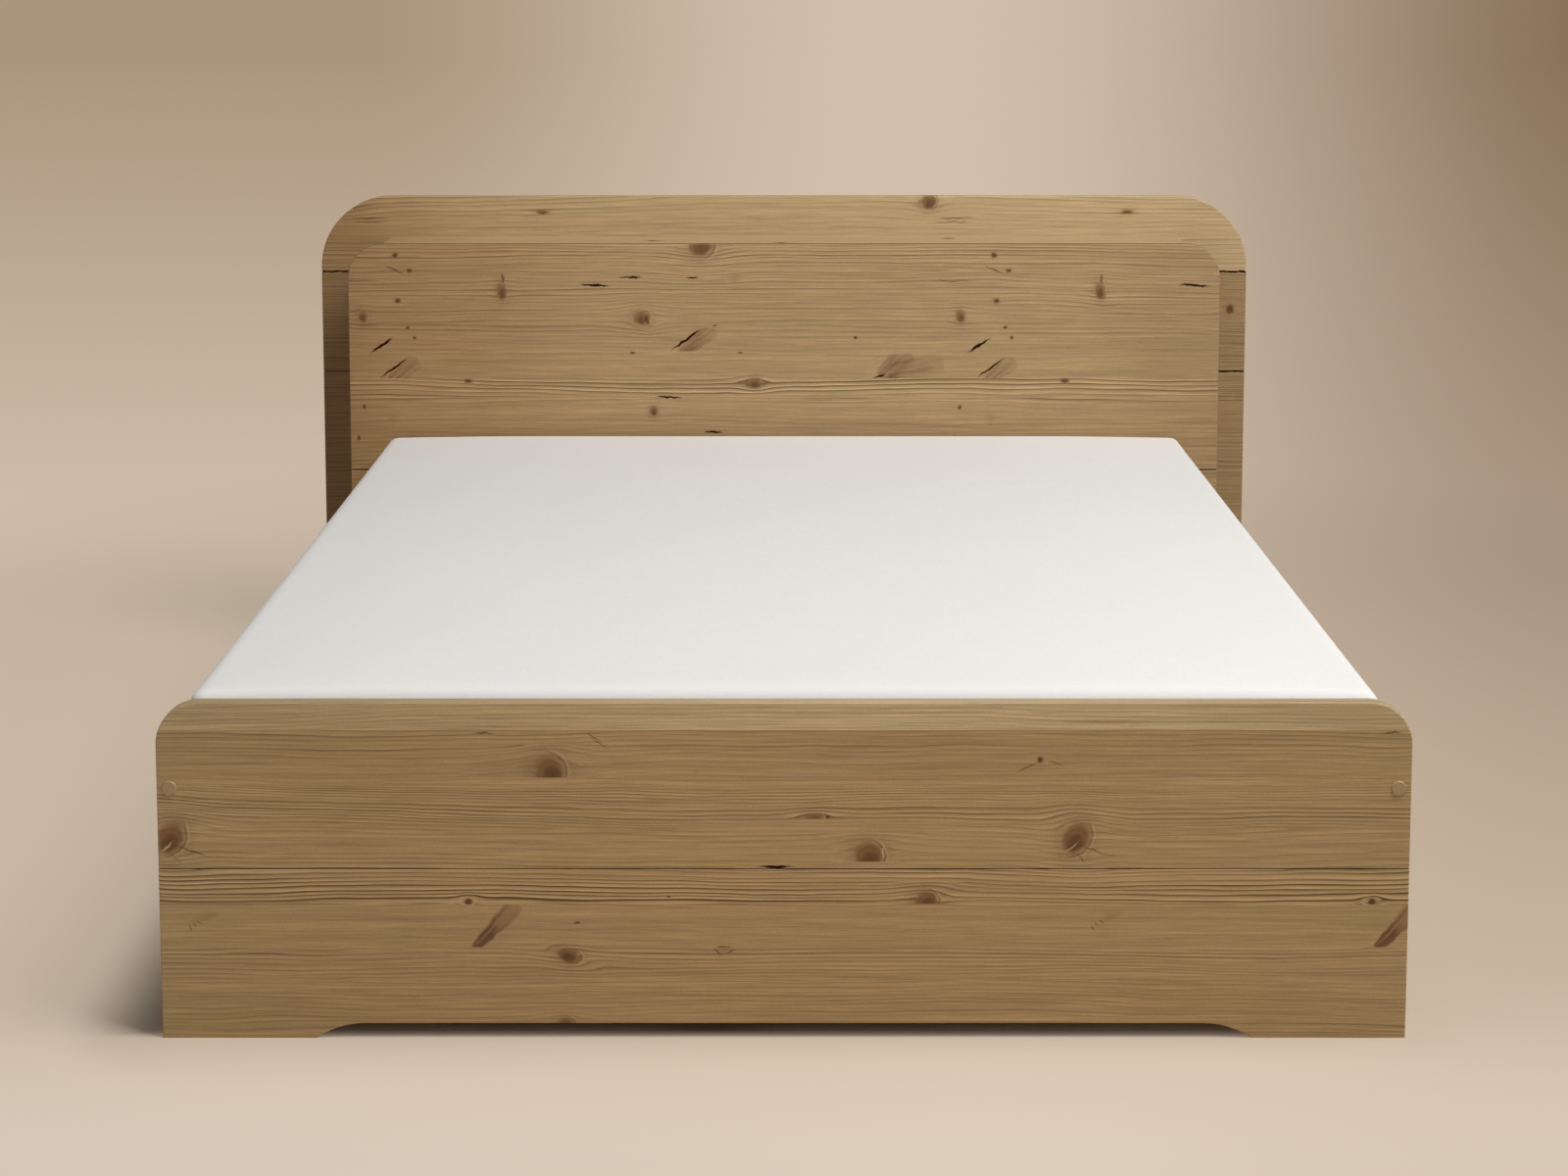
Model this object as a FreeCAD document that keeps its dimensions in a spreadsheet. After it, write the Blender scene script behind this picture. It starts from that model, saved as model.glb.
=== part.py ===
import FreeCAD, Part
import Sketcher
import math
import os
import re

# Bookcase bed in pine: a low footboard, side rails with a slatted base, and a deep headboard
# made of two rounded panels with shelves between them that open at both ends.
# X is across the bed, -Y the foot end, +Y the head end, +Z up. The origin lies on the floor,
# under the middle of the whole bed. All sizes are in millimetres.

SIZES = {
    # mattress and the room round it
    "mattress_width": 1600,
    "mattress_length": 2000,
    "mattress_thick": 200,
    "mattress_corner": 30,
    "mattress_edge": 20,
    "mattress_crown": 8,
    "crown_inset": 190,
    "side_gap": 2,
    "end_gap": 5,
    "rest_gap": 0.3,
    # footboard
    "foot_thick": 22,
    "foot_height": 459,
    "foot_seam": 233,
    "foot_corner": 57,
    "foot_overhang": 6,
    # front panel of the headboard
    "front_thick": 22,
    "front_height": 850,
    "front_seam": 392,
    "front_corner": 68,
    "front_overhang": 44,
    # rear panel of the headboard
    "rear_thick": 22,
    "rear_rise": 83,
    "rear_top_board": 156,
    "rear_middle_board": 207,
    "rear_corner": 146,
    "rear_overhang": 77,
    # what all panels share
    "arch_foot": 206,
    "arch_run": 65,
    "arch_rise": 20,
    "edge_round": 2,
    "edge_ease": 1.5,
    "seam_ease": 0.6,
    "foot_seam_gap": 1.2,
    "head_seam_gap": 2,
    "tongue_thick": 4,
    "tongue_depth": 8,
    "tongue_stop": 160,
    "housing_depth": 5,
    "fit_gap": 0.2,
    # bookcase between the two panels
    "case_depth": 133,
    "case_low": 60,
    "case_top_thick": 22,
    "case_ease": 1.5,
    "divider_thick": 18,
    "divider_reach": 460,
    "shelf_thick": 18,
    "shelf_low": 130,
    "shelf_setback": 20,
    # side rails and ledges
    "rail_thick": 22,
    "rail_low": 185,
    "rail_height": 200,
    "rail_ease": 2,
    "ledge_width": 30,
    "ledge_height": 34,
    "ledge_setback": 40,
    "ledge_ease": 1.5,
    # slats
    "slat_level": 248,
    "slat_width": 70,
    "slat_thick": 20,
    "slat_ease": 2,
    "slat_side_gap": 2,
    "slat_end_gap": 25,
    "ribbon_width": 25,
    "ribbon_thick": 1,
    "ribbon_reach": 420,
    # centre beam with its brackets and legs
    "beam_width": 44,
    "beam_height": 66,
    "beam_ease": 2,
    "beam_end_gap": 1,
    "bracket_sheet": 2.5,
    "bracket_reach": 40,
    "bracket_ear": 22,
    "bracket_drop": 16.5,
    "bracket_side_gap": 0.3,
    "bracket_hole": 5,
    "leg_width": 44,
    "leg_spread": 620,
    "leg_ease": 3,
    "tenon_width": 22,
    "tenon_height": 25,
    "glide_width": 36,
    "glide_height": 5,
    "glide_ease": 1.5,
    # bed bolts with their barrel nuts and caps
    "bolt_level": 343,
    "bolt_width": 8,
    "bolt_room": 0.3,
    "bolt_past_nut": 8,
    "head_width": 15.4,
    "head_height": 4,
    "socket_across": 5,
    "socket_depth": 2.4,
    "bore_width": 16,
    "bore_depth": 6,
    "nut_inset": 50,
    "nut_width": 10,
    "nut_length": 14,
    "nut_slot_width": 1.6,
    "nut_slot_depth": 1.4,
    "nut_end_room": 0.5,
    "thread_fit": 0.05,
    "cap_width": 20,
    "cap_proud": 2,
    "cap_ease": 1.2,
    "cap_stem_fit": 0.1,
    "cap_stem": 1.7,
    # dowels
    "dowel_width": 8,
    "dowel_fit": 0.05,
    "dowel_end_room": 0.5,
    "dowel_in_panel": 12,
    "dowel_in_rail": 20,
    "dowel_level": 215,
    # how far a cut runs past the face that it opens
    "overrun": 1,
}
SLATS = 15
SHELVES = 3
SIDES = {"left": -1, "right": 1}
ENDS = {"foot": -1, "head": 1}

doc = FreeCAD.newDocument("BookcaseBed")
sheet = doc.addObject("Spreadsheet::Sheet", "Sizes")
for row, (alias, size) in enumerate(SIZES.items(), start=1):
    sheet.set(f"A{row}", str(size))
    sheet.setAlias(f"A{row}", alias)
doc.recompute()

# places that several pieces share, as expressions in the sheet's names
INNER_LENGTH = "(mattress_length + 2 * end_gap)"
TOTAL_LENGTH = f"(foot_thick + {INNER_LENGTH} + front_thick + case_depth + rear_thick)"
FOOT_FRONT = f"((cap_proud - {TOTAL_LENGTH}) / 2)"
FOOT_BACK = f"({FOOT_FRONT} + foot_thick)"
HEAD_FRONT = f"({FOOT_BACK} + {INNER_LENGTH})"
CASE_FRONT = f"({HEAD_FRONT} + front_thick)"
CASE_BACK = f"({CASE_FRONT} + case_depth)"
HEAD_BACK = f"({CASE_BACK} + rear_thick)"
RAIL_IN = "(mattress_width / 2 + side_gap)"
RAIL_OUT = f"({RAIL_IN} + rail_thick)"
BOLT_X = f"({RAIL_IN} + rail_thick / 2)"
FOOT_HALF = f"({RAIL_OUT} + foot_overhang)"
FRONT_HALF = f"({FOOT_HALF} + front_overhang)"
REAR_HALF = f"({FRONT_HALF} + rear_overhang)"
RAIL_TOP = "(rail_low + rail_height)"
REAR_TOP = "(front_height + rear_rise)"
REAR_HIGH_SEAM = f"({REAR_TOP} - rear_top_board)"
REAR_LOW_SEAM = f"({REAR_HIGH_SEAM} - rear_middle_board)"
CASE_TOP_UNDER = "(front_height - case_top_thick)"
CASE_TOP_HALF = f"({FRONT_HALF} - front_corner)"
SHELF_PITCH = f"(({CASE_TOP_UNDER} - shelf_low) / {SHELVES})"
SHELF_END = f"({FRONT_HALF} - shelf_setback)"
DIVIDER_OUT = "(divider_reach + divider_thick / 2)"
BEAM_LOW = "(slat_level - beam_height)"
SLAT_HALF = f"({RAIL_IN} - slat_side_gap)"
SLAT_PITCH = f"(({INNER_LENGTH} - 2 * slat_end_gap - slat_width) / {SLATS - 1})"
SLAT_TOP = "(slat_level + slat_thick)"
MATTRESS_LOW = f"({SLAT_TOP} + rest_gap)"
CASE_TOP_MIDDLE = f"({CASE_TOP_UNDER} + case_top_thick / 2)"
CASE_TONGUE_HALF = f"({CASE_TOP_HALF} - tongue_stop / 2)"

# edges this close to a level lie on it
SAME_PLACE = 1e-3


def sized(text):
    """Writes the sheet's name before each of its aliases in an expression."""
    return re.sub("[a-z_]+", lambda word: named(word.group(0)), str(text))


def named(word):
    """An alias with the sheet's name, or any other word as it is."""
    return f"Sizes.{word}" if word in SIZES else word


def number(text):
    """The present value of an expression in the sheet's names."""
    return float(sheet.evalExpression(sized(text)))


def place(piece, x="0", y="0", z="0"):
    """Ties a piece's position to the sheet."""
    for axis, where in zip("xyz", (x, y, z)):
        piece.setExpression(f"Placement.Base.{axis}", sized(where))


def new_body(label, y="0"):
    """A body whose own X and Z are the bed's, moved along Y only."""
    body = doc.addObject("PartDesign::Body", label)
    body.Label = label
    place(body, y=y)
    doc.recompute()
    return body


def new_sketch(body, plane, level="0"):
    """A sketch on one of the body's origin planes, or level away from it along its axis."""
    sketch = body.newObject("Sketcher::SketchObject", "Sketch")
    flat = [item for item in body.Origin.OriginFeatures if item.Role == plane]
    sketch.AttachmentSupport = [(flat[0], "")]
    sketch.MapMode = "FlatFace"
    turn = -1 if plane == "XZ_Plane" else 1
    sketch.setExpression("AttachmentOffset.Base.z", sized(f"{turn} * ({level})"))
    return sketch


def bind(sketch, kind, *where, to):
    """Adds a dimension to a sketch and ties it to the sheet."""
    index = sketch.addConstraint(Sketcher.Constraint(kind, *where, number(to)))
    sketch.setExpression(f"Constraints[{index}]", sized(to))


def tangent_arc(start, end, touch, along):
    """The arc from start to end that runs along a direction where it touches one of them."""
    far = start if (touch - end).Length == 0 else end
    normal = FreeCAD.Vector(-along.y, along.x, 0).normalize()
    chord = far - touch
    centre = touch + normal * (chord.dot(chord) / (2 * chord.dot(normal)))
    circle = Part.Circle(centre, FreeCAD.Vector(0, 0, 1), (touch - centre).Length)
    first = math.atan2(start.y - centre.y, start.x - centre.x)
    last = math.atan2(end.y - centre.y, end.x - centre.x)
    turn = (last - first) % math.tau
    if turn > math.pi:
        return Part.ArcOfCircle(circle, last, last + math.tau - turn), (2, 1)
    return Part.ArcOfCircle(circle, first, first + turn), (1, 2)


def draw_outline(sketch, points, arcs=()):
    """A closed outline through points written as pairs of expressions.

    arcs lists pairs: the number of a point that an arc leaves, and 1 or -1 for the line
    after it or before it that the arc is tangent to. The other stretches are straight.
    """
    spots = [FreeCAD.Vector(number(x), number(y), 0) for x, y in points]
    count = len(spots)
    first = sketch.GeometryCount
    touching = dict(arcs)
    ends = []
    for index, here in enumerate(spots):
        there = spots[(index + 1) % count]
        if index not in touching:
            sketch.addGeometry(Part.LineSegment(here, there), False)
            ends.append((1, 2))
            continue
        if touching[index] == 1:
            touch, along = there, spots[(index + 2) % count] - there
        else:
            touch, along = here, here - spots[index - 1]
        arc, order = tangent_arc(here, there, touch, along)
        sketch.addGeometry(arc, False)
        ends.append(order)
    for index in range(count):
        after = (index + 1) % count
        smooth = touching.get(index) == 1 or touching.get(after) == -1
        kind = "Tangent" if smooth else "Coincident"
        where = (first + index, ends[index][1], first + after, ends[after][0])
        sketch.addConstraint(Sketcher.Constraint(kind, *where))
    for index, (x, y) in enumerate(points):
        bind(sketch, "DistanceX", -1, 1, first + index, ends[index][0], to=x)
        bind(sketch, "DistanceY", -1, 1, first + index, ends[index][0], to=y)


def rectangle(low_x, low_y, high_x, high_y):
    """The corners of a rectangle, as pairs of expressions."""
    return [(low_x, low_y), (high_x, low_y), (high_x, high_y), (low_x, high_y)]


def pad(body, sketch, length):
    """Thickens a sketch towards the positive end of its plane's axis."""
    solid = body.newObject("PartDesign::Pad", "Pad")
    solid.Profile = sketch
    solid.setExpression("Length", sized(length))
    solid.Reversed = lies_across_y(sketch)
    return solid


def lies_across_y(sketch):
    """Whether a sketch is on the XZ plane, whose normal points to -Y."""
    return sketch.AttachmentSupport[0][0].Role == "XZ_Plane"


def cut(body, sketch, depth, direction):
    """Cuts a sketch into a body, towards the positive or negative end of the axis."""
    pocket = body.newObject("PartDesign::Pocket", "Pocket")
    pocket.Profile = sketch
    pocket.setExpression("Length", sized(depth))
    pocket.Reversed = (direction > 0) != lies_across_y(sketch)
    return pocket


def drill(body, spots, width, depth, plane="XZ_Plane", level="0", direction=1):
    """Cuts round holes at spots written as pairs of expressions on the plane."""
    sketch = new_sketch(body, plane, level)
    up = FreeCAD.Vector(0, 0, 1)
    for index, (x, y) in enumerate(spots):
        centre = FreeCAD.Vector(number(x), number(y), 0)
        sketch.addGeometry(Part.Circle(centre, up, number(width) / 2), False)
        bind(sketch, "DistanceX", -1, 1, index, 3, to=x)
        bind(sketch, "DistanceY", -1, 1, index, 3, to=y)
        bind(sketch, "Diameter", index, to=width)
    return cut(body, sketch, depth, direction)


def groove(body, outlines, depth, plane, level, direction):
    """Cuts straight-sided recesses whose corners are pairs of expressions."""
    sketch = new_sketch(body, plane, level)
    for corners in outlines:
        draw_outline(sketch, corners)
    return cut(body, sketch, depth, direction)


def revolve(body, points):
    """Turns half a section about the body's Y axis."""
    sketch = new_sketch(body, "XY_Plane")
    draw_outline(sketch, points)
    solid = body.newObject("PartDesign::Revolution", "Revolution")
    solid.Profile = sketch
    solid.ReferenceAxis = (sketch, ["V_Axis"])
    solid.Angle = 360
    return solid


def round_edges(body, keep, size, kind="Fillet"):
    """Rounds or chamfers the edges of a body that keep picks out."""
    doc.recompute()
    base = body.Tip
    edges = [f"Edge{n}" for n, edge in enumerate(base.Shape.Edges, start=1) if keep(edge)]
    eased = body.newObject(f"PartDesign::{kind}", kind)
    eased.Base = (base, edges)
    eased.setExpression("Size" if kind == "Chamfer" else "Radius", sized(size))
    doc.recompute()
    return eased


def spans(edge, axis):
    """How far an edge reaches along one axis of its body."""
    box = edge.BoundBox
    return {"x": box.XLength, "y": box.YLength, "z": box.ZLength}[axis]


def is_flat(edge, axis):
    """Whether an edge lies square to an axis."""
    return spans(edge, axis) < SAME_PLACE


def at_level(edge, axis, level):
    """Whether an edge lies square to an axis at one level of it."""
    centre = edge.BoundBox.Center
    where = {"x": centre.x, "y": centre.y, "z": centre.z}[axis]
    return is_flat(edge, axis) and abs(where - number(level)) < SAME_PLACE


def runs_along(edge, axis):
    """Whether an edge is straight along one axis."""
    return all(is_flat(edge, other) for other in "xyz" if other != axis)


def lengthwise_at(level):
    """Picks the edges that run along Y at one X."""
    return lambda edge: runs_along(edge, "y") and at_level(edge, "x", level)


def link(source, label, x="0", y="0", z="0", turned=False):
    """One more copy of a piece, turned half round about Z where it faces the other way."""
    copy = doc.addObject("App::Link", label)
    copy.LinkedObject = source
    if turned:
        copy.LinkPlacement.Rotation = FreeCAD.Rotation(FreeCAD.Vector(0, 0, 1), 180)
    place(copy, x, y, z)
    return copy


def group(label, members):
    """Identical pieces under one name, each still a solid of its own."""
    compound = doc.addObject("Part::Compound", label)
    compound.Label = label
    compound.Links = members
    return compound


def dowel(x, y, z, length):
    """A round wooden dowel that lies along Y and starts at a point."""
    pin = doc.addObject("Part::Cylinder", "Dowel")
    pin.setExpression("Radius", sized("dowel_width / 2"))
    pin.setExpression("Height", sized(length))
    pin.Placement.Rotation = FreeCAD.Rotation(FreeCAD.Vector(1, 0, 0), -90)
    place(pin, x, y, z)
    return pin


def arched_outline(half, top):
    """The outline of a lower board: feet at both ends and a shallow arch between them."""
    foot_in = f"({half} - arch_foot)"
    arch_in = f"({foot_in} - arch_run)"
    points = [
        (f"-{half}", "0"),
        (f"-{foot_in}", "0"),
        (f"-{arch_in}", "arch_rise"),
        (arch_in, "arch_rise"),
        (foot_in, "0"),
        (half, "0"),
        (half, top),
        (f"-{half}", top),
    ]
    return points, [(1, 1), (3, -1)]


def panel_board(label, y, thick, outline, arcs=(), corner=None, top=None, seams=()):
    """One board of an upright panel: outline, rounded top corners, eased seams and edges."""
    body = new_body(label, y)
    sketch = new_sketch(body, "XZ_Plane")
    draw_outline(sketch, outline, arcs)
    pad(body, sketch, thick)

    def at_seam(edge):
        return runs_along(edge, "x") and any(at_level(edge, "z", seam) for seam in seams)

    def shows(edge):
        return is_flat(edge, "y") and not at_seam(edge) and not at_level(edge, "z", "0")

    def at_corner(edge):
        return runs_along(edge, "y") and at_level(edge, "z", top)

    def in_front(edge):
        return shows(edge) and at_level(edge, "y", "0")

    def behind(edge):
        return shows(edge) and at_level(edge, "y", thick)

    if corner:
        round_edges(body, at_corner, corner)
        round_edges(body, in_front, "edge_round")
        round_edges(body, behind, "edge_ease", "Chamfer")
    else:
        round_edges(body, shows, "edge_ease", "Chamfer")
    round_edges(body, at_seam, "seam_ease", "Chamfer")
    return body


def below(seam, gap="head_seam_gap"):
    """The top edge of the board under a seam."""
    return f"({seam} - {gap} / 2)"


def above(seam, gap="head_seam_gap"):
    """The bottom edge of the board over a seam."""
    return f"({seam} + {gap} / 2)"


def tongue_groove(body, half, edge, thick, direction):
    """The groove for a loose tongue, along the edge where two boards meet."""
    reach = f"({half} - tongue_stop)"
    low = f"(({thick} - tongue_thick) / 2)"
    corners = rectangle(f"-{reach}", low, reach, f"({low} + tongue_thick)")
    groove(body, [corners], "tongue_depth + fit_gap", "XY_Plane", edge, direction)


def strip(label, x, y, z, wide, deep, high):
    """A plain strip with square edges, its lowest corner at a place."""
    box = doc.addObject("Part::Box", label)
    box.Label = label
    box.setExpression("Length", sized(wide))
    box.setExpression("Width", sized(deep))
    box.setExpression("Height", sized(high))
    place(box, x, y, z)
    return box


def tongue(label, y, half, seam, thick, gap="head_seam_gap"):
    """The loose tongue that sits in both grooves of a seam."""
    reach = f"({half} - tongue_stop - fit_gap)"
    low = f"{y} + ({thick} - tongue_thick) / 2"
    sizes = (f"2 * {reach}", "tongue_thick", f"2 * tongue_depth + {gap}")
    return strip(label, f"-{reach}", low, f"{below(seam, gap)} - tongue_depth", *sizes)


def bolt_holes(body, thick, from_front):
    """A clearance hole with a counterbore for each bed bolt."""
    spots = [(f"{side} * {BOLT_X}", "bolt_level") for side in SIDES.values()]
    drill(body, spots, "bolt_width + 2 * bolt_room", f"{thick} + overrun", level="0")
    if from_front:
        drill(body, spots, "bore_width", "bore_depth")
    else:
        drill(body, spots, "bore_width", "bore_depth", level=thick, direction=-1)


def dowel_holes(body, spots, depth, level="0", direction=1):
    """Blind holes for dowels along Y."""
    room = f"{depth} + dowel_end_room"
    drill(body, spots, "dowel_width + 2 * dowel_fit", room, level=level, direction=direction)


def rail_dowel_spots():
    """Where the dowels meet the panels, one below each bed bolt."""
    return [(f"{side} * {BOLT_X}", "dowel_level") for side in SIDES.values()]


def make_footboard():
    """Two boards tongued edge to edge, the lower one arched, with the rails bolted behind."""
    gap = "foot_seam_gap"
    low_edge, high_edge = below("foot_seam", gap), above("foot_seam", gap)
    outline, arcs = arched_outline(FOOT_HALF, low_edge)
    lower = panel_board(
        "footboard_lower", FOOT_FRONT, "foot_thick", outline, arcs, seams=[low_edge]
    )
    tongue_groove(lower, FOOT_HALF, low_edge, "foot_thick", -1)
    dowel_holes(lower, rail_dowel_spots(), "dowel_in_panel", "foot_thick", -1)

    upper = panel_board(
        "footboard_upper",
        FOOT_FRONT,
        "foot_thick",
        rectangle(f"-{FOOT_HALF}", high_edge, FOOT_HALF, "foot_height"),
        corner="foot_corner",
        top="foot_height",
        seams=[high_edge],
    )
    tongue_groove(upper, FOOT_HALF, high_edge, "foot_thick", 1)
    bolt_holes(upper, "foot_thick", from_front=True)
    joint = tongue("footboard_tongue", FOOT_FRONT, FOOT_HALF, "foot_seam", "foot_thick", gap)
    return [lower, upper, joint]


def divider_places():
    """Where the upright dividers stand: one in the middle and one at each niche."""
    return {"left": "-divider_reach", "centre": "0", "right": "divider_reach"}


def divider_housings(low, high):
    """The recesses for the dividers' front edges, between two levels."""
    half = "(divider_thick + fit_gap) / 2"
    return [rectangle(f"{x} - {half}", low, f"{x} + {half}", high) for x in divider_places().values()]


def case_tongue_groove():
    """The section of the groove for the bookcase top's tongue."""
    half = "tongue_thick / 2"
    low, high = f"{CASE_TOP_MIDDLE} - {half}", f"{CASE_TOP_MIDDLE} + {half}"
    return rectangle(f"-{CASE_TONGUE_HALF}", low, CASE_TONGUE_HALF, high)


def make_front_panel():
    """The panel at the mattress's head, on the floor, with the bookcase behind it."""
    low_edge, high_edge = below("front_seam"), above("front_seam")
    outline, arcs = arched_outline(FRONT_HALF, low_edge)
    lower = panel_board(
        "front_panel_lower", HEAD_FRONT, "front_thick", outline, arcs, seams=[low_edge]
    )
    tongue_groove(lower, FRONT_HALF, low_edge, "front_thick", -1)
    dowel_holes(lower, rail_dowel_spots(), "dowel_in_panel")
    bolt_holes(lower, "front_thick", from_front=False)
    housings = divider_housings("case_low - fit_gap", "front_seam + overrun")
    groove(lower, housings, "housing_depth", "XZ_Plane", "front_thick", -1)

    upper = panel_board(
        "front_panel_upper",
        HEAD_FRONT,
        "front_thick",
        rectangle(f"-{FRONT_HALF}", high_edge, FRONT_HALF, "front_height"),
        corner="front_corner",
        top="front_height",
        seams=[high_edge],
    )
    tongue_groove(upper, FRONT_HALF, high_edge, "front_thick", 1)
    housings = divider_housings("front_seam - overrun", f"{CASE_TOP_UNDER} + fit_gap")
    groove(upper, housings, "housing_depth", "XZ_Plane", "front_thick", -1)
    depth = "tongue_depth + fit_gap"
    groove(upper, [case_tongue_groove()], depth, "XZ_Plane", "front_thick", -1)
    joint = tongue("front_panel_tongue", HEAD_FRONT, FRONT_HALF, "front_seam", "front_thick")
    return [lower, upper, joint]


def make_rear_panel():
    """Three boards tongued edge to edge: arched at the floor, straight, and rounded on top."""
    low_edge = below(REAR_LOW_SEAM)
    outline, arcs = arched_outline(REAR_HALF, low_edge)
    lower = panel_board(
        "rear_panel_lower", CASE_BACK, "rear_thick", outline, arcs, seams=[low_edge]
    )
    tongue_groove(lower, REAR_HALF, low_edge, "rear_thick", -1)

    edges = [above(REAR_LOW_SEAM), below(REAR_HIGH_SEAM)]
    corners = rectangle(f"-{REAR_HALF}", edges[0], REAR_HALF, edges[1])
    middle = panel_board("rear_panel_middle", CASE_BACK, "rear_thick", corners, seams=edges)
    tongue_groove(middle, REAR_HALF, edges[0], "rear_thick", 1)
    tongue_groove(middle, REAR_HALF, edges[1], "rear_thick", -1)

    high_edge = above(REAR_HIGH_SEAM)
    top = panel_board(
        "rear_panel_top",
        CASE_BACK,
        "rear_thick",
        rectangle(f"-{REAR_HALF}", high_edge, REAR_HALF, REAR_TOP),
        corner="rear_corner",
        top=REAR_TOP,
        seams=[high_edge],
    )
    tongue_groove(top, REAR_HALF, high_edge, "rear_thick", 1)
    made = [lower, middle, top]
    for label, seam in (("rear_tongue_low", REAR_LOW_SEAM), ("rear_tongue_high", REAR_HIGH_SEAM)):
        made.append(tongue(label, CASE_BACK, REAR_HALF, seam, "rear_thick"))
    return made


def shelf_level(index):
    """The underside of a shelf, counted from the lowest."""
    return f"(shelf_low + {index} * {SHELF_PITCH})"


def make_dividers():
    """Upright boards between the panels, housed in the front one, and cut for the shelves."""
    made = []
    into = "(housing_depth - fit_gap)"
    for name, x in divider_places().items():
        body = new_body(f"divider_{name}", f"{CASE_FRONT} - {into}")
        low, high = f"({x} - divider_thick / 2)", f"({x} + divider_thick / 2)"
        sketch = new_sketch(body, "XZ_Plane")
        draw_outline(sketch, rectangle(low, "case_low", high, CASE_TOP_UNDER))
        pad(body, sketch, f"case_depth + {into}")
        if name in SIDES:
            far = f"case_depth + {into} + overrun"
            housings = [
                rectangle(
                    "-overrun", shelf_level(index),
                    far, f"({shelf_level(index)} + shelf_thick + fit_gap)",
                )
                for index in range(SHELVES)
            ]
            face = f"{SIDES[name]} * {DIVIDER_OUT}"
            groove(body, housings, "housing_depth", "YZ_Plane", face, -SIDES[name])
        made.append(body)
    return made


def make_shelves():
    """Three shelves at each end, held in the divider and open to the side of the bed."""
    made = []
    for name, side in SIDES.items():
        near = f"{side} * ({DIVIDER_OUT} - housing_depth + fit_gap)"
        far = f"{side} * {SHELF_END}"
        low, high = (near, far) if side > 0 else (far, near)
        for index in range(SHELVES):
            level = shelf_level(index)
            body = new_body(f"shelf_{name}_{index + 1}", CASE_FRONT)
            sketch = new_sketch(body, "XZ_Plane")
            draw_outline(sketch, rectangle(low, level, high, f"({level} + shelf_thick)"))
            pad(body, sketch, "case_depth")
            round_edges(body, lengthwise_at(far), "case_ease", "Chamfer")
            made.append(body)
    return made


def make_case_top():
    """The ledge on top of the bookcase, level with the front panel and tongued into it."""
    body = new_body("bookcase_top", CASE_FRONT)
    sketch = new_sketch(body, "XZ_Plane")
    corners = rectangle(f"-{CASE_TOP_HALF}", CASE_TOP_UNDER, CASE_TOP_HALF, "front_height")
    draw_outline(sketch, corners)
    pad(body, sketch, "case_depth")
    round_edges(body, lambda edge: runs_along(edge, "y"), "case_ease", "Chamfer")
    groove(body, [case_tongue_groove()], "tongue_depth + fit_gap", "XZ_Plane", "0", 1)
    reach = f"({CASE_TONGUE_HALF} - fit_gap)"
    joint = strip(
        "bookcase_tongue",
        f"-{reach}",
        f"{CASE_FRONT} - tongue_depth",
        f"{CASE_TOP_MIDDLE} - tongue_thick / 2",
        f"2 * {reach}",
        "2 * tongue_depth",
        "tongue_thick",
    )
    return [body, joint]


def make_rails():
    """The side rails, drilled at both ends for a bed bolt, its barrel nut and a dowel."""
    made = []
    for name, side in SIDES.items():
        body = new_body(f"side_rail_{name}", FOOT_BACK)
        near, far = f"{side} * {RAIL_IN}", f"{side} * {RAIL_OUT}"
        low, high = (near, far) if side > 0 else (far, near)
        sketch = new_sketch(body, "XZ_Plane")
        draw_outline(sketch, rectangle(low, "rail_low", high, RAIL_TOP))
        pad(body, sketch, INNER_LENGTH)
        round_edges(body, lambda edge: runs_along(edge, "y"), "rail_ease", "Chamfer")
        axis = f"{side} * {BOLT_X}"
        for end, direction in (("0", 1), (INNER_LENGTH, -1)):
            deep = "nut_inset + bolt_past_nut + dowel_end_room"
            wide = "bolt_width + 2 * bolt_room"
            drill(body, [(axis, "bolt_level")], wide, deep, level=end, direction=direction)
            dowel_holes(body, [(axis, "dowel_level")], "dowel_in_rail", end, direction)
        nuts = [("nut_inset", "bolt_level"), (f"{INNER_LENGTH} - nut_inset", "bolt_level")]
        deep = "rail_thick / 2 + nut_length / 2 + nut_end_room"
        wide = "nut_width + 2 * thread_fit"
        drill(body, nuts, wide, deep, "YZ_Plane", near, side)
        made.append(body)
    return made


def make_ledges():
    """The battens inside the rails that carry the ends of the slats."""
    made = []
    for name, side in SIDES.items():
        body = new_body(f"slat_ledge_{name}", f"{FOOT_BACK} + ledge_setback")
        near, far = f"{side} * ({RAIL_IN} - ledge_width)", f"{side} * {RAIL_IN}"
        low, high = (near, far) if side > 0 else (far, near)
        sketch = new_sketch(body, "XZ_Plane")
        bottom = "(slat_level - ledge_height)"
        draw_outline(sketch, rectangle(low, bottom, high, "slat_level"))
        pad(body, sketch, f"{INNER_LENGTH} - 2 * ledge_setback")
        round_edges(body, lengthwise_at(near), "ledge_ease", "Chamfer")
        made.append(body)
    return made


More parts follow.
